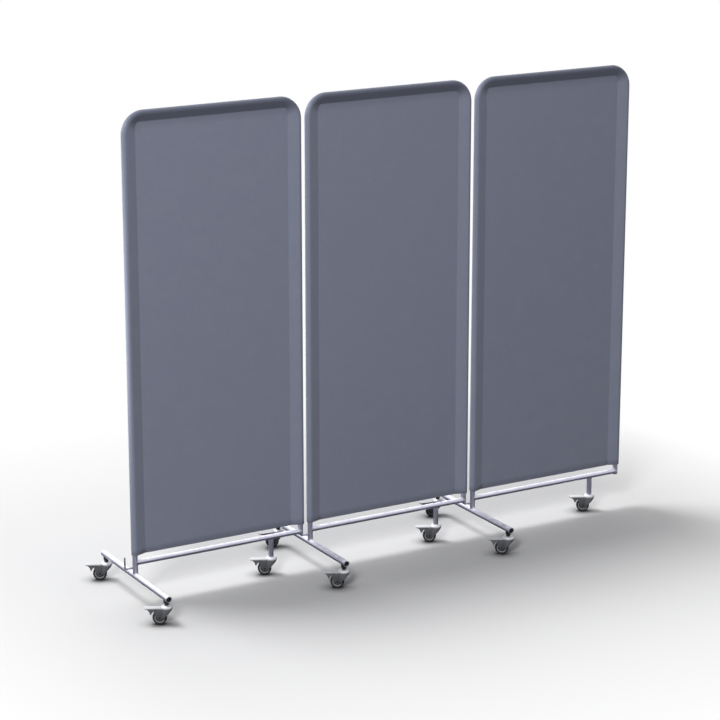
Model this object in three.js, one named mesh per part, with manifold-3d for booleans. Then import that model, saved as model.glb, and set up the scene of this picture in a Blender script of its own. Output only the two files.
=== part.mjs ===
// Ward privacy screen: three tube frames on braked swivel casters, linked by lift-off pins,
// each with a slip-on curtain. Lengths are millimetres and angles are degrees.
// +X runs along the row of panels, -Y faces the viewer, +Z is up, and the floor is at z = 0.

import * as THREE from 'three';
import { mergeVertices } from 'three/addons/utils/BufferGeometryUtils.js';
import Module from 'manifold-3d';

const wasm = await Module();
wasm.setup();

// Row of panels
const PANEL_NAMES = ['left', 'middle', 'right'];
const POST_SPACING = 660;
const PANEL_GAP = 40;

// Frame tube, bottom rail and leg, all cut from one tube
const TUBE_RADIUS = 9.5;
const TUBE_WALL = 1.5;
const CORNER_RADIUS = 70;
const FRAME_RISE = 1585;
const RAIL_RISE = 48.5;
const LEG_INSET = 122;

// Foot bar and its end caps
const FOOT_RADIUS = 11;
const FOOT_WALL = 1.5;
const FOOT_LENGTH = 537;
const FOOT_CASTER_INSET = 20.5;
const CAP_DEPTH = 14;
const CAP_BEVEL = 1.2;

// Link pin on the left post, and the bush that it enters in the neighbour's right post
const PIN_RADIUS = 3;
const PIN_BEND_RADIUS = 8;
const PIN_DROP = 8.5;
const PIN_REACH = 35.5;
const BUSH_LENGTH = 22;
const BUSH_FLANGE = 1.5;

// Curtain: a flat sheet whose two sides and top are sewn into sleeves round the frame tube
const CLOTH = 1.6;
const HEM_GAP = 20.5;
const SLEEVE_EASE_TOP = 0.8;
const SLEEVE_EASE_HEM = 2.4;
const SIDE_SEAM_DISTANCE = 40;
const TOP_SEAM_DISTANCE = 27.5;
const SEAM_LAP = 6;

// Caster wheel
const WHEEL_RADIUS = 25;
const WHEEL_WIDTH = 16;
const TREAD_WIDTH = 10;
const TYRE_DEPTH = 7;
const TYRE_SHOULDER = 1.5;
const WEB_THICKNESS = 9;
const HUB_RADIUS = 7;
const AXLE_RADIUS = 3;

// Caster fork
const TRAIL_LENGTH = 23.7;
const FORK_WIDTH = 24;
const FORK_PLATE = 2;
const FORK_EYE_RADIUS = 9.5;
const FORK_BACK_REACH = 21.8;
const FORK_BACK_DROP = 7.5;
const FORK_BACK_CHAMFER = 8.5;
const FORK_FRONT_DROP = 2.5;
const NOSE_THICKNESS = 2.5;
const DECK_GAP = 2.5;
const DECK_THICKNESS = 3.5;
const HOOD_RADIUS = 21;
const HOOD_HEIGHT = 10;
const HOOD_RIM = 3;
const HOOD_BEVEL = 1.5;
const HOOD_FLAT_RADIUS = 12;
const RIVET_HEAD = 1;

// Brake pedal
const PEDAL_REACH = 76;
const PEDAL_WIDTH = 24;
const PEDAL_THICKNESS = 4.4;
const PEDAL_GAP = 0.8;
const PEDAL_TIP_RADIUS = 4;
const PEDAL_PIN_RADIUS = 2;
const PEDAL_BOSS_RADIUS = 4.4;
const PEDAL_PIN_ANGLE = 66.6;
const PEDAL_BOSS_GAP = 1.5;
const SHOE_GAP = 6.7;
const SHOE_THICKNESS = 4.2;
const SHOE_ANGLE = 21;
const SHOE_ROOT_ANGLE = 54;
const WEB_ROOT_INSET = 2.5;
const WEB_CURVE_DROP = 3;
const WEB_CURVE_REACH = 3;

// Caster stem
const STEM_RADIUS = 4;
const STEM_HEAD_RADIUS = 6.5;
const STEM_HEAD_HEIGHT = 3;
const BOSS_FOOT_RADIUS = 7;
const BOSS_RADIUS = 10.4;
const BOSS_HEIGHT = 18.2;
const BOSS_STRAIGHT = 4;
const SADDLE_DEPTH = 4;
const STUD_REACH = 13;
const PLUG_LENGTH = 25;

// Directions that the parked casters trail in, turned from +X
const PARKED_ANGLE = 153;
const ALONG_RAIL_ANGLE = 171;
const CASTER_ANGLES = {
  left: { front: PARKED_ANGLE, back: PARKED_ANGLE, leg: PARKED_ANGLE },
  middle: { front: PARKED_ANGLE, back: ALONG_RAIL_ANGLE, leg: PARKED_ANGLE },
  right: { front: PARKED_ANGLE, back: ALONG_RAIL_ANGLE, leg: PARKED_ANGLE },
};

// Clearances, and how far a cutting body runs past what it cuts
const SEAT_GAP = 0.3;
const RUNNING_GAP = 0.5;
const CUT_OVERRUN = 5;
const WELD_DISTANCE = 0.001;

// Facets of the round forms
const TUBE_SIDES = 12;
const ROD_SIDES = 8;
const BEND_STEPS = 4;
const SPINDLE_SIDES = 6;
const WHEEL_SIDES = 16;
const HOOD_SIDES = 16;
const HOOD_STEPS = 2;
const EYE_STEPS = 3;
const PEDAL_STEPS = 2;
const SLEEVE_STEPS = 8;

// Places worked out from the sizes above
const PITCH = POST_SPACING + PANEL_GAP;
const DECK_TOP = WHEEL_RADIUS + WHEEL_RADIUS + DECK_GAP + DECK_THICKNESS;
const PEDAL_BOTTOM = DECK_TOP + PEDAL_GAP;
const HOOD_BASE = DECK_TOP - SEAT_GAP - PEDAL_GAP;
const HOOD_TOP = HOOD_BASE + HOOD_HEIGHT;
const STEM_SEAT = HOOD_TOP + SEAT_GAP;
const FOOT_HEIGHT = STEM_SEAT + BOSS_HEIGHT + FOOT_RADIUS;
const RAIL_HEIGHT = FOOT_HEIGHT + RAIL_RISE;
const TOP_HEIGHT = RAIL_HEIGHT + FRAME_RISE;
const POST_END = RAIL_HEIGHT - TUBE_RADIUS;
const HEM_HEIGHT = RAIL_HEIGHT + TUBE_RADIUS + HEM_GAP;
const FOOT_CASTER_REACH = FOOT_LENGTH / 2 - FOOT_CASTER_INSET;
const TUBE_BORE = TUBE_RADIUS - TUBE_WALL;
const FOOT_BORE = FOOT_RADIUS - FOOT_WALL;
const FORK_GAP = FORK_WIDTH - FORK_PLATE - FORK_PLATE;
const PEDAL_PIN_DISTANCE = WHEEL_RADIUS + PEDAL_BOSS_GAP + PEDAL_BOSS_RADIUS;
const PEDAL_PIN = polar(TRAIL_LENGTH, WHEEL_RADIUS, PEDAL_PIN_DISTANCE, PEDAL_PIN_ANGLE);

// Colours and finishes
const FINISHES = {
  tube: { color: 0xdcdce6, roughness: 0.35, metalness: 0.1 },
  cloth: { color: 0x6e7281, roughness: 0.9, metalness: 0 },
  blackPlastic: { color: 0x17171a, roughness: 0.5, metalness: 0 },
  zincSteel: { color: 0x9a9ca0, roughness: 0.4, metalness: 0.8 },
  palePlastic: { color: 0xc9cbce, roughness: 0.4, metalness: 0 },
  tyre: { color: 0x3a3c3e, roughness: 0.8, metalness: 0 },
  pin: { color: 0xb4b6bd, roughness: 0.3, metalness: 0.8 },
};

// Point at a distance and an angle from a centre
function polar(centreX, centreY, distance, degrees) {
  const angle = THREE.MathUtils.degToRad(degrees);
  return new THREE.Vector2(centreX + distance * Math.cos(angle), centreY + distance * Math.sin(angle));
}

// Angle, seen from a circle's centre, of the tangent point of a line from an outside point
function tangentAngle(centre, radius, outside, side) {
  const offset = outside.clone().sub(centre);
  return offset.angle() + side * Math.acos(radius / offset.length());
}

// Closed body for the boolean steps
function toSolid(geometry) {
  const bare = geometry.clone();
  bare.deleteAttribute('normal');
  bare.deleteAttribute('uv');
  const merged = mergeVertices(bare, WELD_DISTANCE);
  const mesh = new wasm.Mesh({
    numProp: 3,
    vertProperties: merged.attributes.position.array,
    triVerts: merged.index.array,
  });
  return new wasm.Manifold(mesh);
}

function toGeometry(solid) {
  const mesh = solid.getMesh();
  const geometry = new THREE.BufferGeometry();
  geometry.setAttribute('position', new THREE.BufferAttribute(mesh.vertProperties, mesh.numProp));
  geometry.setIndex(new THREE.BufferAttribute(mesh.triVerts, 1));
  geometry.computeVertexNormals();
  return geometry;
}

// Body turned about the z axis from points of radius and height
function turned(profile, sides) {
  const geometry = new THREE.LatheGeometry(profile, sides);
  geometry.rotateX(Math.PI / 2);
  return geometry;
}

// Upright rod between two heights
function rod(radius, bottom, top, sides) {
  const geometry = new THREE.CylinderGeometry(radius, radius, top - bottom, sides);
  geometry.rotateX(Math.PI / 2);
  geometry.translate(0, 0, (bottom + top) / 2);
  return geometry;
}

// Rod along y, centred on y = 0
function crossRod(radius, length, x, z, sides) {
  const geometry = new THREE.CylinderGeometry(radius, radius, length, sides);
  geometry.translate(x, 0, 0);
  geometry.translate(0, 0, z);
  return geometry;
}

// Plate cut to an outline of x and z, with its thickness along y about a middle plane
function uprightPlate(outline, thickness, middle, curveSegments) {
  const geometry = new THREE.ExtrudeGeometry(outline, {
    depth: thickness,
    bevelEnabled: false,
    curveSegments,
  });
  geometry.rotateX(Math.PI / 2);
  geometry.translate(0, middle + thickness / 2, 0);
  return geometry;
}

// Path through chosen stations, with sections only where a run or a bend needs one
class StationPath extends THREE.Curve {
  constructor(stations) {
    super();
    this.stations = stations;
  }

  stationAt(share) {
    return this.stations[Math.round(share * (this.stations.length - 1))];
  }

  getPointAt(share) {
    return this.stationAt(share).point.clone();
  }

  getTangentAt(share) {
    return this.stationAt(share).tangent.clone();
  }
}

// Stations of a quarter bend in the xz plane, from one direction to another
function bendStations(start, from, to, radius) {
  const centre = start.clone().addScaledVector(to, radius);
  const stations = [];
  for (let step = 0; step <= BEND_STEPS; step += 1) {
    const angle = (Math.PI / 2) * (step / BEND_STEPS);
    const point = centre.clone();
    point.addScaledVector(to, -radius * Math.cos(angle));
    point.addScaledVector(from, radius * Math.sin(angle));
    const tangent = from.clone().multiplyScalar(Math.cos(angle));
    tangent.addScaledVector(to, Math.sin(angle));
    stations.push({ point, tangent });
  }
  return stations;
}

// Stations up the left post, across the top and down the right post
function hoopStations(leftEnd, rightEnd) {
  const up = new THREE.Vector3(0, 0, 1);
  const across = new THREE.Vector3(1, 0, 0);
  const down = new THREE.Vector3(0, 0, -1);
  const firstBend = new THREE.Vector3(0, 0, TOP_HEIGHT - CORNER_RADIUS);
  const secondBend = new THREE.Vector3(POST_SPACING - CORNER_RADIUS, 0, TOP_HEIGHT);
  return [
    { point: new THREE.Vector3(0, 0, leftEnd), tangent: up },
    ...bendStations(firstBend, up, across, CORNER_RADIUS),
    ...bendStations(secondBend, across, down, CORNER_RADIUS),
    { point: new THREE.Vector3(POST_SPACING, 0, rightEnd), tangent: down },
  ];
}

function circlePoints(radius, sides) {
  const points = [];
  for (let side = 0; side < sides; side += 1) {
    points.push(polar(0, 0, radius, (360 * side) / sides));
  }
  return points;
}

// Round section, solid or with a bore, drawn along stations
function drawn(stations, radius, bore, sides) {
  const section = new THREE.Shape(circlePoints(radius, sides));
  if (bore > 0) {
    section.holes.push(new THREE.Path(circlePoints(bore, sides)));
  }
  return new THREE.ExtrudeGeometry(section, {
    steps: stations.length - 1,
    extrudePath: new StationPath(stations),
    bevelEnabled: false,
  });
}

// Straight tube or rod between two points
function straight(start, end, radius, bore, sides) {
  const tangent = end.clone().sub(start).normalize();
  return drawn([{ point: start, tangent }, { point: end, tangent }], radius, bore, sides);
}

// Skin through rings of points, closed by a fan at each end
function lofted(rings) {
  const count = rings[0].length;
  const positions = rings.flat().flatMap((point) => point.toArray());
  const indices = [];
  for (let ring = 0; ring < rings.length - 1; ring += 1) {
    for (let side = 0; side < count; side += 1) {
      const a = ring * count + side;
      const b = ring * count + ((side + 1) % count);
      indices.push(a, b, b + count, a, b + count, a + count);
    }
  }
  const last = (rings.length - 1) * count;
  for (let side = 1; side < count - 1; side += 1) {
    indices.push(0, side + 1, side);
    indices.push(last, last + side, last + side + 1);
  }
  const geometry = new THREE.BufferGeometry();
  geometry.setAttribute('position', new THREE.Float32BufferAttribute(positions, 3));
  geometry.setIndex(indices);
  return geometry;
}

// Hoop of tube: open at both ends, with the longer left post coped to sit on the foot bar
function frameTube() {
  const tube = toSolid(drawn(hoopStations(FOOT_HEIGHT, POST_END), TUBE_RADIUS, TUBE_BORE, TUBE_SIDES));
  const cope = toSolid(crossRod(FOOT_RADIUS + SEAT_GAP, FOOT_LENGTH, 0, FOOT_HEIGHT, TUBE_SIDES));
  return toGeometry(tube.subtract(cope));
}

// Rail coped between the posts, with the caster leg welded under it
function bottomRail() {
  const railStart = new THREE.Vector3(0, 0, RAIL_HEIGHT);
  const railEnd = new THREE.Vector3(POST_SPACING, 0, RAIL_HEIGHT);
  const legTop = new THREE.Vector3(POST_SPACING - LEG_INSET, 0, RAIL_HEIGHT);
  const legEnd = new THREE.Vector3(POST_SPACING - LEG_INSET, 0, STEM_SEAT);
  const legBoreEnd = new THREE.Vector3(POST_SPACING - LEG_INSET, 0, STEM_SEAT - CUT_OVERRUN);
  const outside = toSolid(straight(railStart, railEnd, TUBE_RADIUS, 0, TUBE_SIDES))
    .add(toSolid(straight(legTop, legEnd, TUBE_RADIUS, 0, TUBE_SIDES)));
  const bore = toSolid(straight(railStart, railEnd, TUBE_BORE, 0, TUBE_SIDES))
    .add(toSolid(straight(legTop, legBoreEnd, TUBE_BORE, 0, TUBE_SIDES)));
  const copeBottom = RAIL_HEIGHT - TUBE_RADIUS - CUT_OVERRUN;
  const copeTop = RAIL_HEIGHT + TUBE_RADIUS + CUT_OVERRUN;
  const leftCope = rod(TUBE_RADIUS + SEAT_GAP, copeBottom, copeTop, TUBE_SIDES);
  const rightCope = leftCope.clone().translate(POST_SPACING, 0, 0);
  return toGeometry(outside.subtract(bore).subtract(toSolid(leftCope)).subtract(toSolid(rightCope)));
}

// Cross tube under the left post, open at both ends, with a hole below for each caster stud
function footBar() {
  const front = new THREE.Vector3(0, -FOOT_LENGTH / 2, FOOT_HEIGHT);
  const back = new THREE.Vector3(0, FOOT_LENGTH / 2, FOOT_HEIGHT);
  let bar = toSolid(straight(front, back, FOOT_RADIUS, FOOT_BORE, TUBE_SIDES));
  for (const end of [front, back]) {
    const y = Math.sign(end.y) * FOOT_CASTER_REACH;
    const hole = rod(STEM_RADIUS + SEAT_GAP, FOOT_HEIGHT - FOOT_RADIUS - CUT_OVERRUN, FOOT_HEIGHT, ROD_SIDES);
    bar = bar.subtract(toSolid(hole.translate(0, y, 0)));
  }
  return toGeometry(bar);
}

// Plug pressed into an end of the foot bar, turned about the bar with its face at the bar's end
function endCap() {
  const radius = FOOT_BORE - SEAT_GAP;
  const profile = [
    new THREE.Vector2(0, -CAP_DEPTH),
    new THREE.Vector2(radius, -CAP_DEPTH),
    new THREE.Vector2(radius, -CAP_BEVEL),
    new THREE.Vector2(radius - CAP_BEVEL, 0),
    new THREE.Vector2(0, 0),
  ];
  return turned(profile, TUBE_SIDES);
}

// Bent rod that leaves the left post sideways and stands up under the neighbour's right post
function linkPin() {
  const left = new THREE.Vector3(-1, 0, 0);
  const up = new THREE.Vector3(0, 0, 1);
  const armHeight = POST_END - PIN_DROP;
  const bendStart = new THREE.Vector3(PIN_BEND_RADIUS - PANEL_GAP, 0, armHeight);
  const stations = [
    { point: new THREE.Vector3(-TUBE_RADIUS - SEAT_GAP, 0, armHeight), tangent: left },
    ...bendStations(bendStart, left, up, PIN_BEND_RADIUS),
    { point: new THREE.Vector3(-PANEL_GAP, 0, POST_END + PIN_REACH), tangent: up },
  ];
  return drawn(stations, PIN_RADIUS, 0, ROD_SIDES);
}

// Flanged bush in the open end of the right post, in which the neighbour's pin turns
function pinBush() {
  const bore = PIN_RADIUS + SEAT_GAP;
  const flangeTop = -SEAT_GAP;
  const sleeve = TUBE_BORE - SEAT_GAP;
  const profile = [
    new THREE.Vector2(bore, flangeTop - BUSH_FLANGE),
    new THREE.Vector2(TUBE_RADIUS, flangeTop - BUSH_FLANGE),
    new THREE.Vector2(TUBE_RADIUS, flangeTop),
    new THREE.Vector2(sleeve, flangeTop),
    new THREE.Vector2(sleeve, BUSH_LENGTH),
    new THREE.Vector2(bore, BUSH_LENGTH),
    new THREE.Vector2(bore, flangeTop - BUSH_FLANGE),
  ];
  return turned(profile, TUBE_SIDES);
}

// Drop-shaped loop: an arc round the tube closed by two straight sides that meet at the seam
function dropLoop(radius, seamDistance) {
  const half = THREE.MathUtils.radToDeg(Math.acos(radius / seamDistance));
  const loop = [new THREE.Vector2(seamDistance, 0)];
  for (let step = 0; step <= SLEEVE_STEPS; step += 1) {
    loop.push(polar(0, 0, radius, half + ((360 - half - half) * step) / SLEEVE_STEPS));
  }
  return loop;
}

// Direction from a station of the hoop towards the middle of the panel
function inwards(station) {
  return new THREE.Vector3(station.tangent.z, 0, -station.tangent.x);
}

// Seam distance at a station: the side seams stand off further than the top seam
function seamDistance(station) {
  const across = station.tangent.x * station.tangent.x;
  return THREE.MathUtils.lerp(SIDE_SEAM_DISTANCE, TOP_SEAM_DISTANCE, across);
}

// Ring of a sleeve at a station, shrunk by the cloth for its inner face
function sleeveRing(station, shrink) {
  const share = (station.point.z - HEM_HEIGHT) / (TOP_HEIGHT - HEM_HEIGHT);
  const ease = THREE.MathUtils.lerp(SLEEVE_EASE_HEM, SLEEVE_EASE_TOP, share);
  const outer = TUBE_RADIUS + ease + CLOTH;
  const slope = outer / seamDistance(station);
  const radius = outer - shrink;
  const inward = inwards(station);
  return dropLoop(radius, radius / slope).map((place) => {
    const point = station.point.clone().addScaledVector(inward, place.x);
    return point.setY(place.y);
  });
}

// Curtain: sleeve and sheet in one, open at the hem where the posts pass out of it
function curtain() {
  const sleeve = lofted(hoopStations(HEM_HEIGHT, HEM_HEIGHT).map((station) => sleeveRing(station, 0)));
  const cutEnd = HEM_HEIGHT - CUT_OVERRUN;
  const tunnel = lofted(hoopStations(cutEnd, cutEnd).map((station) => sleeveRing(station, CLOTH)));
  const edge = hoopStations(HEM_HEIGHT, HEM_HEIGHT).map((station) => {
    const point = station.point.clone();
    point.addScaledVector(inwards(station), seamDistance(station) - SEAM_LAP);
    return new THREE.Vector2(point.x, point.z);
  });
  const sheet = uprightPlate(new THREE.Shape(edge), CLOTH, 0, 1);
  return toGeometry(toSolid(sleeve).add(toSolid(sheet)).subtract(toSolid(tunnel)));
}

// Outline of a fork plate: wide under the hood, narrowing to a round eye about the axle
function forkOutline() {
  const axle = new THREE.Vector2(TRAIL_LENGTH, WHEEL_RADIUS);
  const front = new THREE.Vector2(-forkFrontReach(), HOOD_BASE - FORK_FRONT_DROP);
  const backX = TRAIL_LENGTH + FORK_BACK_REACH;
  const back = new THREE.Vector2(backX, DECK_TOP - FORK_BACK_DROP);
  const outline = new THREE.Shape();
  outline.moveTo(front.x, DECK_TOP);
  outline.lineTo(front.x, front.y);
  const startAngle = tangentAngle(axle, FORK_EYE_RADIUS, front, 1);
  const endAngle = tangentAngle(axle, FORK_EYE_RADIUS, back, -1);
  outline.absarc(axle.x, axle.y, FORK_EYE_RADIUS, startAngle, endAngle, false);
  outline.lineTo(back.x, back.y);
  outline.lineTo(backX - FORK_BACK_CHAMFER, DECK_TOP);
  return outline;
}

// Where the plates meet the front of the round hood
function forkFrontReach() {
  const half = FORK_WIDTH / 2;
  return Math.sqrt(HOOD_RADIUS * HOOD_RADIUS - half * half);
}

// Sloping front wall between the fork plates, from the hood down to clear of the tread
function forkNose() {
  const axle = new THREE.Vector2(TRAIL_LENGTH, WHEEL_RADIUS);
  const front = new THREE.Vector2(-forkFrontReach(), HOOD_BASE - FORK_FRONT_DROP);
  const touch = tangentAngle(axle, FORK_EYE_RADIUS, front, 1);
  const run = polar(axle.x, axle.y, FORK_EYE_RADIUS, THREE.MathUtils.radToDeg(touch)).sub(front);
  const wallDistance = WHEEL_RADIUS + DECK_GAP;
  const reach = run.length() - Math.sqrt(wallDistance * wallDistance - FORK_EYE_RADIUS * FORK_EYE_RADIUS);
  const low = front.clone().addScaledVector(run.normalize(), reach);
  const thick = new THREE.Vector2(-run.y, run.x).multiplyScalar(NOSE_THICKNESS);
  const outline = new THREE.Shape([
    new THREE.Vector2(front.x, DECK_TOP),
    front,
    low,
    low.clone().add(thick),
    front.clone().add(thick),
    new THREE.Vector2(front.x + thick.x, DECK_TOP),
  ]);
  return uprightPlate(outline, FORK_WIDTH, 0, 1);
}

// Round hood over the stem, with a raised rim and a bore for the stem
function forkHood() {
  const bore = STEM_RADIUS + SEAT_GAP;
  const rimTop = HOOD_BASE + HOOD_RIM;
  const profile = [
    new THREE.Vector2(bore, HOOD_BASE),
    new THREE.Vector2(HOOD_RADIUS - HOOD_BEVEL, HOOD_BASE),
  ];
  for (let step = 0; step <= HOOD_STEPS; step += 1) {
    const angle = (Math.PI / 2) * (step / HOOD_STEPS);
    const radius = HOOD_FLAT_RADIUS + (HOOD_RADIUS - HOOD_FLAT_RADIUS) * Math.cos(angle);
    profile.push(new THREE.Vector2(radius, rimTop + (HOOD_TOP - rimTop) * Math.sin(angle)));
  }
  profile.push(new THREE.Vector2(bore, HOOD_TOP));
  profile.push(new THREE.Vector2(bore, HOOD_BASE));
  return turned(profile, HOOD_SIDES);
}

// Web between the plates over the wheel, from the stem's head back to the pedal's boss
function forkDeck() {
  const start = STEM_HEAD_RADIUS + RUNNING_GAP;
  const end = PEDAL_PIN.x - PEDAL_BOSS_RADIUS - RUNNING_GAP;
  const outline = new THREE.Shape([
    new THREE.Vector2(start, DECK_TOP - DECK_THICKNESS),
    new THREE.Vector2(end, DECK_TOP - DECK_THICKNESS),
    new THREE.Vector2(end, DECK_TOP),
    new THREE.Vector2(start, DECK_TOP),
  ]);
  return uprightPlate(outline, FORK_WIDTH, 0, 1);
}

// Fork with its riveted axle and pedal pin
function fork() {
  const axleLength = FORK_WIDTH + RIVET_HEAD + RIVET_HEAD;
  const plateMiddle = (FORK_GAP + FORK_PLATE) / 2;
  const pieces = [
    forkHood(),
    uprightPlate(forkOutline(), FORK_PLATE, plateMiddle, EYE_STEPS),
    uprightPlate(forkOutline(), FORK_PLATE, -plateMiddle, EYE_STEPS),
    forkNose(),
    forkDeck(),
    crossRod(AXLE_RADIUS, axleLength, TRAIL_LENGTH, WHEEL_RADIUS, ROD_SIDES),
    crossRod(PEDAL_PIN_RADIUS, FORK_GAP + FORK_PLATE, PEDAL_PIN.x, PEDAL_PIN.y, ROD_SIDES),
  ];
  return toGeometry(pieces.map(toSolid).reduce((whole, piece) => whole.add(piece)));
}

// Wheel about its own centre: hub, dished web, rim and rounded tyre, standing on a flat of its tread
function wheel() {
  const half = WHEEL_WIDTH / 2;
  const hubEnd = FORK_GAP / 2 - RUNNING_GAP;
  const bore = AXLE_RADIUS + SEAT_GAP;
  const tread = WHEEL_RADIUS / Math.cos(Math.PI / WHEEL_SIDES);
  const rimRadius = WHEEL_RADIUS - TYRE_DEPTH;
  const rimFoot = rimRadius - TYRE_SHOULDER;
  const side = [
    new THREE.Vector2(bore, hubEnd),
    new THREE.Vector2(HUB_RADIUS, hubEnd),
    new THREE.Vector2(rimFoot, WEB_THICKNESS / 2),
    new THREE.Vector2(rimRadius, half),
    new THREE.Vector2(WHEEL_RADIUS - TYRE_SHOULDER, half),
    new THREE.Vector2(tread, TREAD_WIDTH / 2),
  ];
  const mirrored = side.map((point) => new THREE.Vector2(point.x, -point.y));
  const geometry = new THREE.LatheGeometry([...mirrored, ...side.reverse(), mirrored[0]], WHEEL_SIDES);
  geometry.rotateY(Math.PI / WHEEL_SIDES);
  return geometry;
}

// Outline of the pedal's foot plate seen from above, hollowed at its root round the hood
function pedalPlate() {
  const half = PEDAL_WIDTH / 2;
  const root = HOOD_RADIUS + PEDAL_GAP;
  const rootAngle = Math.asin(half / root);
  const corner = PEDAL_REACH - PEDAL_TIP_RADIUS;
  const side = half - PEDAL_TIP_RADIUS;
  const outline = new THREE.Shape();
  outline.moveTo(root * Math.cos(rootAngle), -half);
  outline.lineTo(corner, -half);
  outline.absarc(corner, -side, PEDAL_TIP_RADIUS, -Math.PI / 2, 0, false);
  outline.absarc(corner, side, PEDAL_TIP_RADIUS, 0, Math.PI / 2, false);
  outline.lineTo(root * Math.cos(rootAngle), half);
  outline.absarc(0, 0, root, rootAngle, -rootAngle, true);
  const geometry = new THREE.ExtrudeGeometry(outline, {
    depth: PEDAL_THICKNESS,
    bevelEnabled: false,
    curveSegments: PEDAL_STEPS,
  });
  return geometry.translate(0, 0, PEDAL_BOTTOM);
}

// Web under the foot plate: pivot boss at its root and brake shoe hooked down behind the tread
function pedalWeb() {
  const top = PEDAL_BOTTOM + PEDAL_THICKNESS / 2;
  const shoeInner = WHEEL_RADIUS + SHOE_GAP;
  const shoeTip = polar(TRAIL_LENGTH, WHEEL_RADIUS, shoeInner + SHOE_THICKNESS, SHOE_ANGLE);
  const outline = new THREE.Shape();
  outline.moveTo(PEDAL_PIN.x - PEDAL_BOSS_RADIUS, top);
  outline.lineTo(PEDAL_PIN.x - PEDAL_BOSS_RADIUS, PEDAL_PIN.y);
  const bossEnd = THREE.MathUtils.degToRad(PEDAL_PIN_ANGLE - 90);
  outline.absarc(PEDAL_PIN.x, PEDAL_PIN.y, PEDAL_BOSS_RADIUS, Math.PI, Math.PI * 2 + bossEnd, false);
  const shoeStart = THREE.MathUtils.degToRad(SHOE_ROOT_ANGLE);
  const shoeEnd = THREE.MathUtils.degToRad(SHOE_ANGLE);
  outline.absarc(TRAIL_LENGTH, WHEEL_RADIUS, shoeInner, shoeStart, shoeEnd, true);
  outline.lineTo(shoeTip.x, shoeTip.y);
  const tip = PEDAL_REACH - WEB_ROOT_INSET;
  outline.quadraticCurveTo(shoeTip.x + WEB_CURVE_REACH, PEDAL_BOTTOM - WEB_CURVE_DROP, tip, PEDAL_BOTTOM);
  outline.lineTo(tip, top);
  return uprightPlate(outline, FORK_GAP - RUNNING_GAP - RUNNING_GAP, 0, PEDAL_STEPS);
}

// Brake pedal that rocks on the fork's pin
function pedal() {
  const bore = crossRod(PEDAL_PIN_RADIUS + SEAT_GAP, FORK_WIDTH, PEDAL_PIN.x, PEDAL_PIN.y, ROD_SIDES);
  return toGeometry(toSolid(pedalPlate()).add(toSolid(pedalWeb())).subtract(toSolid(bore)));
}

// Lower end of a stem: spindle through the hood, with its riveted head below
function spindleProfile(seat) {
  const headTop = HOOD_BASE - SEAT_GAP;
  return [
    new THREE.Vector2(0, headTop - STEM_HEAD_HEIGHT),
    new THREE.Vector2(STEM_HEAD_RADIUS, headTop - STEM_HEAD_HEIGHT),
    new THREE.Vector2(STEM_HEAD_RADIUS, headTop),
    new THREE.Vector2(STEM_RADIUS, headTop),
    new THREE.Vector2(STEM_RADIUS, seat),
  ];
}

// Stem under the foot bar: stud, and a flared boss whose saddle hugs the round bar
function footStem() {
  const studTop = STEM_SEAT + BOSS_HEIGHT + STUD_REACH;
  const spindle = [...spindleProfile(studTop), new THREE.Vector2(0, studTop)];
  const bossTop = STEM_SEAT + BOSS_HEIGHT + SADDLE_DEPTH;
  const flareTop = STEM_SEAT + BOSS_HEIGHT - BOSS_STRAIGHT;
  const boss = [
    new THREE.Vector2(0, STEM_SEAT),
    new THREE.Vector2(BOSS_FOOT_RADIUS, STEM_SEAT),
    new THREE.Vector2(BOSS_RADIUS, flareTop),
    new THREE.Vector2(BOSS_RADIUS, bossTop),
    new THREE.Vector2(0, bossTop),
  ];
  const saddle = crossRod(FOOT_RADIUS + SEAT_GAP, FOOT_LENGTH, 0, FOOT_HEIGHT, TUBE_SIDES);
  const flared = toSolid(turned(boss, TUBE_SIDES)).subtract(toSolid(saddle));
  return toGeometry(flared.add(toSolid(turned(spindle, SPINDLE_SIDES))));
}

// Stem under the leg: plug held inside the leg tube
function legStem() {
  const seat = STEM_SEAT + SEAT_GAP;
  const plug = TUBE_BORE - SEAT_GAP;
  const profile = [
    ...spindleProfile(seat),
    new THREE.Vector2(plug, seat),
    new THREE.Vector2(plug, seat + PLUG_LENGTH),
    new THREE.Vector2(0, seat + PLUG_LENGTH),
  ];
  return turned(profile, TUBE_SIDES);
}

function addPiece(group, name, geometry, finish) {
  const piece = new THREE.Mesh(geometry, new THREE.MeshStandardMaterial(FINISHES[finish]));
  piece.name = name;
  group.add(piece);
  return piece;
}

// Caster standing under its swivel axis, turned to its parked heading
function caster(name, stem, stemFinish, heading) {
  const group = new THREE.Group();
  group.rotation.z = THREE.MathUtils.degToRad(heading);
  addPiece(group, `${name}_fork`, fork(), 'zincSteel');
  addPiece(group, `${name}_wheel`, wheel(), 'tyre').position.set(TRAIL_LENGTH, 0, WHEEL_RADIUS);
  addPiece(group, `${name}_pedal`, pedal(), 'palePlastic');
  const holder = new THREE.Group();
  holder.add(group);
  addPiece(holder, `${name}_stem`, stem, stemFinish);
  return holder;
}

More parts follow.
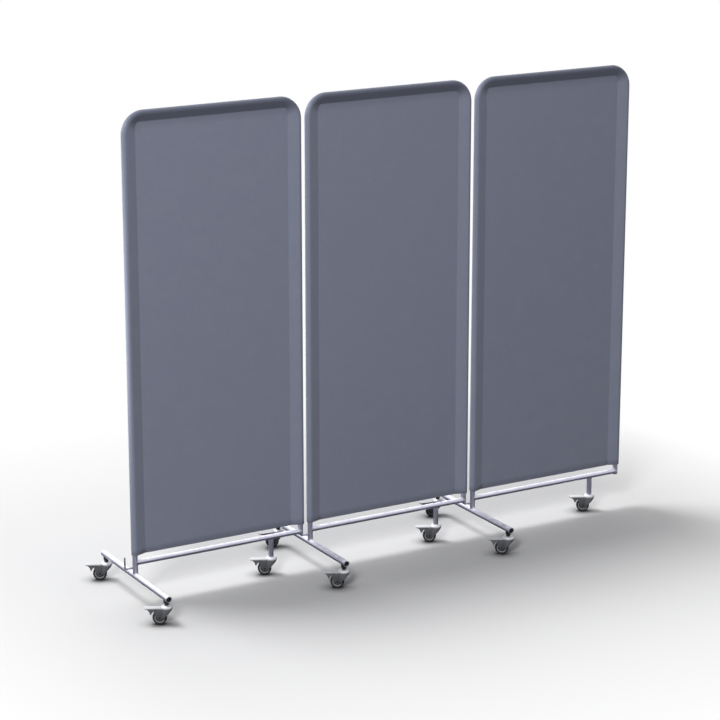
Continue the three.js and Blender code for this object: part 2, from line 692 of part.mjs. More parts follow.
// One panel, with its left post on x = 0
function panel(name) {
  const group = new THREE.Group();
  addPiece(group, `${name}_frame_tube`, frameTube(), 'tube');
  addPiece(group, `${name}_bottom_rail`, bottomRail(), 'tube');
  addPiece(group, `${name}_foot_bar`, footBar(), 'tube');
  const front = addPiece(group, `${name}_front_cap`, endCap(), 'blackPlastic');
  front.position.set(0, -FOOT_LENGTH / 2, FOOT_HEIGHT);
  front.rotation.x = Math.PI / 2;
  const back = addPiece(group, `${name}_back_cap`, endCap(), 'blackPlastic');
  back.position.set(0, FOOT_LENGTH / 2, FOOT_HEIGHT);
  back.rotation.x = -Math.PI / 2;
  addPiece(group, `${name}_link_pin`, linkPin(), 'pin');
  addPiece(group, `${name}_pin_bush`, pinBush(), 'blackPlastic').position.set(POST_SPACING, 0, POST_END);
  addPiece(group, `${name}_curtain`, curtain(), 'cloth');

  const angles = CASTER_ANGLES[name];
  const frontCaster = caster(`${name}_front_caster`, footStem(), 'blackPlastic', angles.front);
  frontCaster.position.y = -FOOT_CASTER_REACH;
  const backCaster = caster(`${name}_back_caster`, footStem(), 'blackPlastic', angles.back);
  backCaster.position.y = FOOT_CASTER_REACH;
  const legCaster = caster(`${name}_leg_caster`, legStem(), 'zincSteel', angles.leg);
  legCaster.position.x = POST_SPACING - LEG_INSET;
  group.add(frontCaster, backCaster, legCaster);
  return group;
}

// Row of panels, moved so that the origin is the middle of its footprint on the floor
const row = new THREE.Group();
PANEL_NAMES.forEach((name, index) => {
  const section = panel(name);
  section.position.x = index * PITCH;
  row.add(section);
});
const extent = new THREE.Box3().setFromObject(row, true);
const centre = extent.getCenter(new THREE.Vector3());
row.position.set(-centre.x, -centre.y, 0);

const screen = new THREE.Group();
screen.add(row);

export default screen;
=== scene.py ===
"""Ward privacy screen on wheels: the looks of three linked panels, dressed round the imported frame.

Lengths are metres and angles are degrees unless a name says otherwise. +X runs along the
row of panels, -Y faces the viewer, and the floor is at z = 0.
"""

import logging
import math
from collections.abc import Callable
from dataclasses import dataclass, field
from enum import Enum
from functools import cache

import bmesh
import bpy
from mathutils import Matrix, Vector


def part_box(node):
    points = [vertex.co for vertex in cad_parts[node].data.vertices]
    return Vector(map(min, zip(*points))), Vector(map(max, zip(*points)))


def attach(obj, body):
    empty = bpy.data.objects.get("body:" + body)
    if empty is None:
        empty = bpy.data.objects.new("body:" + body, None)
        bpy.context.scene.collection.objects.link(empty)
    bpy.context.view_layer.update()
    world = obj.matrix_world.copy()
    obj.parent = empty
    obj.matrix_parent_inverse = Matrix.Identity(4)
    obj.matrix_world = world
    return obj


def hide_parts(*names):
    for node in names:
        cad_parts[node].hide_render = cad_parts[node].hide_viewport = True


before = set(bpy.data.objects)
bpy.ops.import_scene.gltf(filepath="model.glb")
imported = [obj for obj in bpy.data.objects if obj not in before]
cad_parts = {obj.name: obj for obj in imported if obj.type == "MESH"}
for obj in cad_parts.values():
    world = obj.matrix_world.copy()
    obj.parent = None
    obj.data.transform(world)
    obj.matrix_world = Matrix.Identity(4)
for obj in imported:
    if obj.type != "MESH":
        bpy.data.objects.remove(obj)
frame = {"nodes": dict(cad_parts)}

MM = 0.001
WELD_DISTANCE = 0.002 * MM
WHITE = (1, 1, 1, 1)
X_AXIS = Vector((1, 0, 0))
Y_AXIS = Vector((0, 1, 0))
Z_AXIS = Vector((0, 0, 1))
LAID_DOWN = Matrix.Rotation(math.radians(90), 4, "X")

Mesh = bmesh.types.BMesh
Material = bpy.types.Material
Node = bpy.types.Node
Socket = bpy.types.NodeSocket
Sockets = bpy.types.bpy_prop_collection

log = logging.getLogger("ward_screen")


class PanelName(Enum):
    """The three panels, from the viewer's left to right."""

    LEFT = "left"
    MIDDLE = "middle"
    RIGHT = "right"


class Spot(Enum):
    """Where a caster stands under its panel."""

    FRONT = "front"
    BACK = "back"
    LEG = "leg"


class Slot(Enum):
    """The record's material slots."""

    TUBE = "tube"
    CLOTH = "cloth"
    BLACK_PLASTIC = "black_plastic"
    ZINC_STEEL = "zinc_steel"
    PALE_PLASTIC = "pale_plastic"
    TYRE = "tyre"
    PIN_STEEL = "pin_steel"


def linear(*screen: int) -> tuple[float, float, float, float]:
    """Turn a colour as seen on screen into the linear colour that shaders use.

    Args:
        screen: Red, green and blue from 0 to 255.

    Returns:
        Linear red, green, blue and an alpha of 1.
    """
    shares = [value / 255 for value in screen]
    opened = [s / 12.92 if s <= 0.04045 else ((s + 0.055) / 1.055) ** 2.4 for s in shares]
    return (*opened, 1.0)


class NodeBoard:
    """A node tree with short calls for adding and joining nodes."""

    def __init__(self, tree: bpy.types.NodeTree) -> None:
        """Start on an emptied tree."""
        self.tree = tree
        tree.nodes.clear()

    def join(self, socket: Socket, value: object) -> None:
        """Give an input a value, or join an output socket to it.

        Args:
            socket: The input.
            value: Plain value or output socket.
        """
        if isinstance(value, Socket):
            self.tree.links.new(value, socket)
        else:
            socket.default_value = value

    def feed(self, node: Node, *values: object, **inputs: object) -> None:
        """Give a node its inputs.

        Args:
            node: Node that holds the inputs.
            values: Values or output sockets, in the order of the node's inputs.
            inputs: Values or output sockets by the input's name, with _ for a space.
        """
        for index, value in enumerate(values):
            self.join(node.inputs[index], value)
        for name, value in inputs.items():
            self.join(node.inputs[name.replace("_", " ")], value)

    def add(self, kind: str, *values: object, settings: dict | None = None, **inputs: object) -> Node:
        """Add a node.

        Args:
            kind: Node type without its ShaderNode prefix, or a group's own node type in full.
            values: Values or output sockets, in the order of the node's inputs.
            settings: Properties of the node itself.
            inputs: Values or output sockets by the input's name, with _ for a space.

        Returns:
            The new node.
        """
        node = self.tree.nodes.new(kind if kind.startswith("Node") else f"ShaderNode{kind}")
        for name, value in (settings or {}).items():
            setattr(node, name, value)
        self.feed(node, *values, **inputs)
        return node

    def math(self, operation: str, *values: object) -> Socket:
        """Add a Math node, and hand back its result."""
        return self.add("Math", *values, settings={"operation": operation}).outputs[0]

    def vector(self, operation: str, *values: object) -> Sockets:
        """Add a Vector Math node, and hand back its outputs."""
        return self.add("VectorMath", *values, settings={"operation": operation}).outputs

    def fit(self, value: Socket, start: float, end: float, first: float = 0.0, last: float = 1.0) -> Socket:
        """Map a value from the range start to end onto the range first to last, held within it."""
        return self.add("MapRange", value, start, end, first, last).outputs[0]

    def parts(self, vector: Socket) -> Sockets:
        """Split a vector into X, Y and Z."""
        return self.add("SeparateXYZ", vector).outputs

    def place(self) -> Socket:
        """Look up the place in the piece's own coordinates."""
        return self.add("TexCoord").outputs["Object"]

    def noise(self, place: Socket, **values: object) -> Socket:
        """Add a noise pattern, and hand back its height."""
        return self.add("TexNoise", Vector=place, **values).outputs[0]

    def openness(self, samples: int, reach: float) -> Socket:
        """Add a measure of how open the surroundings are within a reach, from 0 to 1."""
        return self.add("AmbientOcclusion", settings={"samples": samples}, Distance=reach).outputs["AO"]

    def blend(self, share: object, first: object, second: object) -> Socket:
        """Mix two colours.

        Args:
            share: Share of the second colour.
            first: First colour or socket.
            second: Second colour or socket.

        Returns:
            The mixed colour's socket.
        """
        node = self.add("Mix", share, settings={"data_type": "RGBA"})
        colours = [socket for socket in node.inputs if socket.type == "RGBA"]
        self.join(colours[0], first)
        self.join(colours[1], second)
        return next(socket for socket in node.outputs if socket.type == "RGBA")

    def effect(self, effect: "Effect", **values: object) -> Sockets:
        """Place a shared effect with this material's own values, and hand back its outputs."""
        return self.add("Group", settings={"node_tree": effect.group()}, **values).outputs

    def seen_directly(self) -> Socket:
        """Mask the rays that show the background: from the eye, mirrored or let through.

        Returns:
            1 for such a ray, and 0 for any other.
        """
        rays = self.add("LightPath").outputs
        seen = self.math("MAXIMUM", rays["Is Camera Ray"], rays["Is Glossy Ray"])
        return self.math("MAXIMUM", seen, rays["Is Transmission Ray"])

    def mixed(self, share: Socket, first: Node, second: Node, output: str) -> None:
        """Mix two shaders into the tree's output.

        Args:
            share: Share of the second shader.
            first: First shader.
            second: Second shader.
            output: Type of the output node.
        """
        mix = self.add("MixShader", share, first.outputs[0], second.outputs[0])
        self.add(output, mix.outputs[0])


@dataclass(frozen=True)
class Effect:
    """Shader node group that several finishes share, drawn at its first use."""

    name: str
    inputs: dict
    draw: Callable[[NodeBoard, Sockets], dict[str, Socket]]

    def group(self) -> bpy.types.NodeTree:
        """Find the group, or draw it.

        Returns:
            The group, with its float inputs and outputs.
        """
        found = bpy.data.node_groups.get(self.name)
        if found:
            return found
        tree = bpy.data.node_groups.new(self.name, "ShaderNodeTree")
        board = NodeBoard(tree)
        for title, value in self.inputs.items():
            socket = tree.interface.new_socket(title, in_out="INPUT", socket_type="NodeSocketFloat")
            socket.default_value = value
        drawn = self.draw(board, board.add("NodeGroupInput").outputs)
        for title in drawn:
            tree.interface.new_socket(title, in_out="OUTPUT", socket_type="NodeSocketFloat")
        board.add("NodeGroupOutput", **drawn)
        return tree


def draw_grain(board: NodeBoard, given: Sockets) -> dict[str, Socket]:
    """Draw a fine surface texture, and a slow variation over the piece.

    Args:
        board: The group's board.
        given: The group's input Scale.

    Returns:
        Height and Variation.
    """
    place = board.place()
    return {
        "Height": board.noise(place, Scale=given["Scale"], Detail=3.0),
        "Variation": board.noise(place, Scale=14.0, Detail=4.0, Roughness=0.6),
    }


def draw_wear(board: NodeBoard, given: Sockets) -> dict[str, Socket]:
    """Draw a mask of rubbed edges, broken up by noise.

    Args:
        board: The group's board.
        given: The group's inputs Width and Amount.

    Returns:
        Mask.
    """
    rounded = board.add("Bevel", settings={"samples": 2}, Radius=given["Width"]).outputs[0]
    normal = board.add("NewGeometry").outputs["Normal"]
    edge = board.fit(board.vector("DOT_PRODUCT", rounded, normal)["Value"], 0.995, 0.9)
    patches = board.fit(board.noise(board.place(), Scale=420.0, Detail=3.0), 0.42, 0.6)
    worn = board.math("MULTIPLY", edge, patches)
    return {"Mask": board.math("MULTIPLY", worn, given["Amount"])}


def draw_dust_and_top_light(board: NodeBoard, given: Sockets) -> dict[str, Socket]:
    """Draw a mask of faces turned up, for a dusting that settles there and, on the tubes, painted light on
    their tops.

    Args:
        board: The group's board.
        given: The group's input Amount.

    Returns:
        Mask.
    """
    normal = board.add("NewGeometry").outputs["Normal"]
    lying = board.fit(board.parts(normal)["Z"], 0.35, 0.95)
    noise = board.noise(board.place(), Scale=60.0, Detail=6.0, Roughness=0.7)
    mask = board.math("MULTIPLY", lying, board.fit(noise, 0.35, 0.75, 0.1))
    return {"Mask": board.math("MULTIPLY", mask, given["Amount"])}


def draw_weave(board: NodeBoard, given: Sockets) -> dict[str, Socket]:
    """Draw a plain weave in the cloth's own flat coordinates.

    Args:
        board: The group's board.
        given: The group's input Threads, to the metre.

    Returns:
        Height and Slub.
    """
    flat = board.add("UVMap", settings={"uv_map": "flat"}).outputs[0]
    turns = board.math("MULTIPLY", given["Threads"], math.pi)
    parts = board.parts(flat)
    waves = [board.math("SINE", board.math("MULTIPLY", parts[axis], turns)) for axis in ("X", "Y")]
    crossing = board.math("MULTIPLY", *waves)
    over = board.fit(crossing, -1.0, 1.0, 0.0, 0.35)
    slubs = [
        board.noise(board.vector("MULTIPLY", flat, stretch)[0], Scale=1.0, Detail=2.0)
        for stretch in ((900.0, 18.0, 1.0), (18.0, 900.0, 1.0))
    ]
    return {
        "Height": board.math("ADD", board.math("ABSOLUTE", crossing), over),
        "Slub": board.math("MULTIPLY", board.math("ADD", *slubs), 0.5),
    }


GRAIN = Effect("surface_grain", {"Scale": 900.0}, draw_grain)
WEAR = Effect("edge_wear", {"Width": 0.8 * MM, "Amount": 0.5}, draw_wear)
# Mask of faces turned up: a dusting, and on the tubes also painted light.
DUST_AND_TOP_LIGHT = Effect("settled_dust_and_top_light", {"Amount": 0.3}, draw_dust_and_top_light)
WEAVE = Effect("plain_weave", {"Threads": 1400.0}, draw_weave)


class MaterialBoard(NodeBoard):
    """Board of a material, with its Principled shader and a fine grain over the piece."""

    def __init__(self, material: Material, scale: float) -> None:
        """Start the material's tree.

        Args:
            material: The material.
            scale: Scale of the grain.
        """
        material.use_nodes = True
        super().__init__(material.node_tree)
        self.shader = self.add("BsdfPrincipled")
        self.add("OutputMaterial", self.shader.outputs[0])
        self.grain = self.effect(GRAIN, Scale=scale)


@dataclass(frozen=True)
class Finish:
    """Shared make-up of every finish: one Principled shader, over a grain that its bump shows."""

    name: str
    roughness: float = 0.5
    smoother: float = 0.0
    rougher: float = 0.0
    grain: float = 900.0
    relief: float = 0.25
    depth: float = 0.08 * MM

    @cache
    def build(self) -> Material:
        """Make the material, once.

        Returns:
            The material.
        """
        material = bpy.data.materials.new(self.name)
        board = MaterialBoard(material, self.grain)
        bump = board.add("Bump", Height=self.paint(board), Strength=self.relief, Distance=self.depth)
        board.feed(board.shader, Normal=bump.outputs[0])
        return material

    def spread(self, board: NodeBoard, pattern: Socket, start: float = 0.3, end: float = 0.7) -> Socket:
        """Spread the roughness over a pattern that runs from start to end."""
        return board.fit(pattern, start, end, self.roughness + self.smoother, self.roughness + self.rougher)


@dataclass(frozen=True)
class SilverCoat(Finish):
    """Bright silver coating on the frame's tubes, with a dusting on their tops that is also painted light,
    making them paler, duller and less metallic.
    """

    colour: tuple = linear(206, 207, 226)
    shaded: tuple = linear(197, 198, 219)
    # Painted light, with a dusting: the paler colour that the tubes' tops take.
    dust_and_top_light_colour: tuple = linear(240, 240, 248)
    metallic: float = 0.9
    filmed: float = 0.8
    dust_and_top_light: float = 1.6
    dulled: float = 0.3
    roughness: float = 0.34
    smoother: float = -0.03
    rougher: float = 0.05
    grain: float = 1500.0
    relief: float = 0.1
    depth: float = 0.01 * MM

    def paint(self, board: MaterialBoard) -> Socket:
        """Feed the shader.

        Args:
            board: The material's board.

        Returns:
            Height for the bump.
        """
        # Painted light: the mask of faces turned up makes the tubes' tops paler, as well as duller.
        top_light_and_dust_mask = board.math("MINIMUM", board.effect(DUST_AND_TOP_LIGHT, Amount=self.dust_and_top_light)["Mask"], 1.0)
        cloud = board.grain["Variation"]
        coat = board.blend(board.fit(cloud, 0.35, 0.65), self.colour, self.shaded)
        board.feed(
            board.shader, Base_Color=board.blend(top_light_and_dust_mask, coat, self.dust_and_top_light_colour),
            Metallic=board.math("MULTIPLY_ADD", top_light_and_dust_mask, -self.filmed, self.metallic),
            Roughness=board.math("MULTIPLY_ADD", top_light_and_dust_mask, self.dulled, self.spread(board, cloud)),
        )
        return board.grain["Height"]


@dataclass(frozen=True)
class CurtainCloth(Finish):
    """Close-woven blue-grey curtain cloth, with painted shade that darkens the top sleeve, where the cloth
    doubles, and a soft strip just under its seam.
    """

    colour: tuple = linear(133, 138, 156)
    thread: tuple = linear(128, 133, 151)
    faded: tuple = linear(136, 141, 157)
    # Painted shade: the darker colour of the top sleeve.
    painted_sleeve_shade_colour: tuple = linear(98, 102, 117)
    threads: float = 1400.0
    grain: float = 2600.0
    relief: float = 0.35
    depth: float = 0.12 * MM

    def paint(self, board: MaterialBoard) -> Socket:
        """Feed the shader.

        Args:
            board: The material's board.

        Returns:
            Height for the bump.
        """
        weave = board.effect(WEAVE, Threads=self.threads)
        dyed = board.blend(board.fit(weave["Slub"], 0.4, 0.6), self.thread, self.colour)
        single = board.blend(board.fit(board.grain["Variation"], 0.45, 0.75, 0.0, 0.5), dyed, self.faded)
        # Painted shade: this mask darkens the top sleeve and a soft strip just under its seam.
        top = board.add("Attribute", settings={"attribute_name": "painted_sleeve_shade"}).outputs["Fac"]
        board.feed(
            board.shader, Base_Color=board.blend(top, single, self.painted_sleeve_shade_colour),
            Roughness=board.fit(weave["Height"], 0.0, 1.3, 0.95, 0.82),
            Sheen_Weight=0.7, Sheen_Roughness=0.35, Specular_IOR_Level=0.25,
        )
        return board.math("MULTIPLY_ADD", board.grain["Height"], 0.5, weave["Height"])


@dataclass(frozen=True)
class SewingThread(Finish):
    """Twisted thread of the seams and the hem."""

    colour: tuple = linear(104, 109, 126)
    lit: tuple = linear(134, 139, 155)
    roughness: float = 0.55
    grain: float = 4200.0
    relief: float = 0.6

    def paint(self, board: MaterialBoard) -> Socket:
        """Feed the shader.

        Args:
            board: The material's board.

        Returns:
            Height for the bump.
        """
        colour = board.blend(board.fit(board.grain["Height"], 0.35, 0.65), self.colour, self.lit)
        board.feed(board.shader, Base_Color=colour, Roughness=self.roughness, Sheen_Weight=0.2)
        return board.grain["Height"]


@dataclass(frozen=True)
class MouldedPlastic(Finish):
    """Moulded plastic with a fine grain, rubbed paler or darker at its edges."""

    colour: tuple = linear(22, 22, 24)
    rubbed: tuple = linear(60, 60, 63)
    dust_and_top_light_colour: tuple = linear(96, 94, 92)
    wear: float = 0.5
    dust_and_top_light: float = 0.1
    roughness: float = 0.42
    smoother: float = -0.06
    rougher: float = 0.1
    grain: float = 2200.0

    def paint(self, board: MaterialBoard) -> Socket:
        """Feed the shader.

        Args:
            board: The material's board.

        Returns:
            Height for the bump.
        """
        dust_and_top_light = board.effect(DUST_AND_TOP_LIGHT, Amount=self.dust_and_top_light)["Mask"]
        body = board.blend(board.effect(WEAR, Amount=self.wear)["Mask"], self.colour, self.rubbed)
        rough = board.math("ADD", self.spread(board, board.grain["Variation"]), dust_and_top_light)
        board.feed(board.shader, Base_Color=board.blend(dust_and_top_light, body, self.dust_and_top_light_colour), Roughness=rough)
        return board.grain["Height"]


@dataclass(frozen=True)
class PlatedSteel(Finish):
    """Zinc-plated steel with the cloudy mottle of a plating bath."""

    colour: tuple = linear(196, 197, 202)
    clouded: tuple = linear(160, 162, 170)
    rubbed: tuple = linear(226, 226, 228)
    metallic: float = 0.9
    wear: float = 0.6
    roughness: float = 0.3
    smoother: float = -0.05
    rougher: float = 0.12
    grain: float = 1100.0
    relief: float = 0.15
    depth: float = 0.05 * MM

    def paint(self, board: MaterialBoard) -> Socket:
        """Feed the shader.

        Args:
            board: The material's board.

        Returns:
            Height for the bump.
        """
        smooth = {"feature": "SMOOTH_F1"}
        mottle = board.add("TexVoronoi", settings=smooth, Vector=board.place(), Scale=260.0)
        cloud = board.fit(mottle.outputs["Distance"], 0.1, 0.8)
        plating = board.blend(cloud, self.colour, self.clouded)
        worn = board.effect(WEAR, Amount=self.wear)["Mask"]
        board.feed(
            board.shader, Base_Color=board.blend(worn, plating, self.rubbed), Metallic=self.metallic,
            Roughness=self.spread(board, cloud, 0.0, 1.0),
        )
        return board.grain["Height"]


@dataclass(frozen=True)
class TyreRubber(Finish):
    """Grey castor rubber, scuffed paler where it rolls."""

    colour: tuple = linear(46, 47, 50)
    scuffed: tuple = linear(88, 87, 86)
    roughness: float = 0.72
    rougher: float = 0.15
    grain: float = 1700.0
    relief: float = 0.4
    depth: float = 0.12 * MM

    def paint(self, board: MaterialBoard) -> Socket:
        """Feed the shader.

        Args:
            board: The material's board.

        Returns:
            Height for the bump.
        """
        marks = board.fit(board.grain["Height"], 0.5, 0.72, 0.0, 0.5)
        share = board.math("MAXIMUM", marks, board.effect(WEAR, Amount=0.5, Width=1.6 * MM)["Mask"])
        board.feed(
            board.shader, Base_Color=board.blend(share, self.colour, self.scuffed),
            Roughness=self.spread(board, marks, 0.0, 0.5),
        )
        return board.grain["Height"]


class Paint(Enum):
    """Every finish of the screen."""

    TUBE = SilverCoat("silver_coat")
    CLOTH = CurtainCloth("curtain_cloth")
    THREAD = SewingThread("sewing_thread")
    BLACK = MouldedPlastic("black_plastic")
    PALE = MouldedPlastic(
        "pale_plastic", colour=linear(186, 187, 191), rubbed=linear(160, 160, 164),
        dust_and_top_light_colour=linear(180, 177, 173), roughness=0.35, wear=0.4,
    )
    HUB = MouldedPlastic(
        "grey_ring_plastic", colour=linear(138, 139, 142), rubbed=linear(172, 173, 176),
        dust_and_top_light_colour=linear(156, 154, 152), roughness=0.45,
    )
    # Partly painted shade: the cover's dark colour also stands for the shade in its recess behind the fork
    # plate.
    COVER = MouldedPlastic(
        "slate_plastic_and_painted_shade", colour=linear(58, 59, 62), rubbed=linear(88, 89, 92),
        dust_and_top_light_colour=linear(100, 98, 96), roughness=0.5,
    )
    # Partly painted shade: the pedal web is darker than the foot plate both in its own tone and for the
    # shade under the plate.
    WEB = MouldedPlastic(
        "dark_grey_plastic_and_painted_shade", colour=linear(104, 105, 109), rubbed=linear(140, 141, 144),
        dust_and_top_light_colour=linear(126, 124, 122), roughness=0.45,
    )
    ZINC = PlatedSteel(
        "bright_plating", colour=linear(222, 222, 227), clouded=linear(208, 209, 216), metallic=0.4,
    )
    # Partly painted shade: the fork plates are darker than the hood both in their own tone and for the shade
    # under the hood.
    DARK_ZINC = PlatedSteel(
        "dark_plating_and_painted_shade", colour=linear(118, 119, 124), clouded=linear(104, 105, 111),
        rubbed=linear(176, 177, 180), metallic=0.6, roughness=0.36,
    )
    PIN = PlatedSteel("drawn_pin_steel", colour=linear(150, 150, 160), roughness=0.24)
    TYRE = TyreRubber("castor_rubber")


@dataclass
class Outline:
    """Run of corners in a plane, each sharp or rounded to a radius."""

    closed: bool = True
    steps: int = 5
    corners: list = field(default_factory=list)

    def to(self, x: float, y: float, radius: float = 0.0) -> "Outline":
        """Add a corner, sharp or rounded to a radius, and hand the outline back."""
        self.corners.append((Vector((x, y)), radius))
        return self

    def arc(self, x: float, y: float, radius: float, start: float, end: float) -> "Outline":
        """Add points along an arc.

        Args:
            x: First coordinate of the centre.
            y: Second coordinate of the centre.
            radius: Radius of the arc.
            start: Angle of the first point.
            end: Angle of the last point.

        Returns:
            The outline itself.
        """
        count = self.steps * 2
        for step in range(count + 1):
            angle = math.radians(start + (end - start) * step / count)
            self.to(x + radius * math.cos(angle), y + radius * math.sin(angle))
        return self

    def points(self) -> list[Vector]:
        """Work out the points, with the round corners as arcs.

        Returns:
            The points, in order.
        """
        found = []
        last = len(self.corners) - 1
        for index, (here, radius) in enumerate(self.corners):
            if radius <= 0 or (not self.closed and index in (0, last)):
                found.append(here.copy())
                continue
            back = (self.corners[index - 1][0] - here).normalized()
            ahead = (self.corners[(index + 1) % (last + 1)][0] - here).normalized()
            half = back.angle(ahead) / 2
            centre = here + (back + ahead).normalized() * (radius / math.sin(half))
            first = here + back * (radius / math.tan(half)) - centre
            final = here + ahead * (radius / math.tan(half)) - centre
            sweep = math.atan2(first.x * final.y - first.y * final.x, first.dot(final))
            for step in range(self.steps + 1):
                found.append(centre + Matrix.Rotation(sweep * step / self.steps, 2) @ first)
        return found


def eye_corner(eye: Vector, radius: float, before: Vector, after: Vector) -> Vector:
    """Find the corner that, rounded to an eye's radius, makes two edges touch the eye.

    Args:
        eye: Centre of the eye.
        radius: Radius of the eye.
        before: Point that the first edge comes from.
        after: Point that the second edge goes to.

    Returns:
        Where the two edges cross beyond the eye.
    """
    lines = []
    for point, side in ((before, -1), (after, 1)):
        to_eye = eye - point
        lean = side * math.asin(radius / to_eye.length)
        lines.append((point, Matrix.Rotation(lean, 2) @ to_eye.normalized()))
    (p, d), (q, e) = lines
    reach = ((q - p).x * e.y - (q - p).y * e.x) / (d.x * e.y - d.y * e.x)
    return p + d * reach


def saddle(radius: float, off: float) -> float:
    """Height of a round tube's surface over its axis, at a distance off to the side."""
    return math.sqrt(max(radius * radius - off * off, 0))


def facing_out(bm: Mesh) -> Mesh:
    """Merge doubles and turn every face outwards.

    Args:
        bm: Mesh to change.

    Returns:
        The same mesh.
    """
    bmesh.ops.remove_doubles(bm, verts=bm.verts, dist=WELD_DISTANCE)
    bmesh.ops.recalc_face_normals(bm, faces=bm.faces)
    return bm


def carry_over(part: Mesh, bm: Mesh) -> None:
    """Move a part's bodies into a mesh, and free the part.

    Args:
        part: Mesh that is moved.
        bm: Mesh to add to.
    """
    carrier = bpy.data.meshes.new("carrier")
    part.to_mesh(carrier)
    part.free()
    bm.from_mesh(carrier)
    bpy.data.meshes.remove(carrier)


def joined(*parts: Mesh) -> Mesh:
    """Move the bodies of several meshes into one.

    Args:
        parts: Meshes to move, which are freed.

    Returns:
        The mesh that holds them all.
    """
    bm = bmesh.new()
    for part in parts:
        carry_over(part, bm)
    return bm


def turned(bm: Mesh, steps: int) -> None:
    """Turn all that a mesh holds once about the z axis, in steps."""
    geom = bm.verts[:] + bm.edges[:]
    bmesh.ops.spin(bm, geom=geom, cent=(0, 0, 0), axis=Z_AXIS, angle=math.tau, steps=steps, use_merge=True)


def rounded_off(bm: Mesh, edges: list, width: float, segments: int) -> None:
    """Round edges over a width, with a number of faces across.

    Args:
        bm: Mesh to change.
        edges: Edges to round.
        width: Width of the rounding.
        segments: Faces across the rounding.
    """
    bmesh.ops.bevel(
        bm, geom=edges, offset=width, offset_type="OFFSET", affect="EDGES",
        segments=segments, profile=0.5, material=-1, clamp_overlap=True,
    )


def extruded(bm: Mesh, edges: list) -> tuple[list, list]:
    """Extrude a row of edges.

    Args:
        bm: Mesh to grow.
        edges: The row.

    Returns:
        The new row's vertices and its edges.
    """
    grown = bmesh.ops.extrude_edge_only(bm, edges=edges)["geom"]
    verts = [g for g in grown if isinstance(g, bmesh.types.BMVert)]
    ends = set(verts)
    return verts, [g for g in grown if isinstance(g, bmesh.types.BMEdge) and set(g.verts) <= ends]


def parent_of(vert: bmesh.types.BMVert, row: dict) -> bmesh.types.BMVert:
    """Find the vertex in a row that a new vertex was extruded from."""
    return next(v for v in (e.other_vert(vert) for e in vert.link_edges) if v in row)


def spun(profile: Outline, segments: int, place: Matrix = Matrix.Identity(4)) -> Mesh:
    """Turn a profile of radius and height about the z axis.

    Args:
        profile: Closed profile, or an open one that starts and ends on the axis.
        segments: Steps round the turn.
        place: Where the turned body goes.

    Returns:
        The body's mesh.
    """
    bm = bmesh.new()
    verts = [bm.verts.new((p.x, 0, p.y)) for p in profile.points()]
    for pair in zip(verts, verts[1:] + verts[:1] if profile.closed else verts[1:]):
        bm.edges.new(pair)
    turned(bm, segments)
    bmesh.ops.remove_doubles(bm, verts=bm.verts, dist=WELD_DISTANCE)
    bmesh.ops.transform(bm, matrix=place, verts=bm.verts)
    return facing_out(bm)


def plate(outline: Outline, thickness: float, rounding: float, place: Matrix) -> Mesh:
    """Cut a plate to an outline and round its rims.

    Args:
        outline: Outline in the plate's own x and y.
        thickness: Thickness along the plate's own z, from 0 up.
        rounding: Width of the rounded rims.
        place: Where the plate goes.

    Returns:
        The plate's mesh.
    """
    bm = bmesh.new()
    low = [bm.verts.new((p.x, p.y, 0)) for p in outline.points()]
    raised = bmesh.ops.extrude_face_region(bm, geom=[bm.faces.new(low)])["geom"]
    top = [g for g in raised if isinstance(g, bmesh.types.BMVert)]
    bmesh.ops.translate(bm, vec=(0, 0, thickness), verts=top)
    bm.normal_update()
    rims = [e for e in bm.edges if set(e.verts) <= set(low) or set(e.verts) <= set(top)]
    rounded_off(bm, [e for e in rims if len(e.link_faces) == 2], rounding, 2)
    bmesh.ops.transform(bm, matrix=place, verts=bm.verts)
    return facing_out(bm)


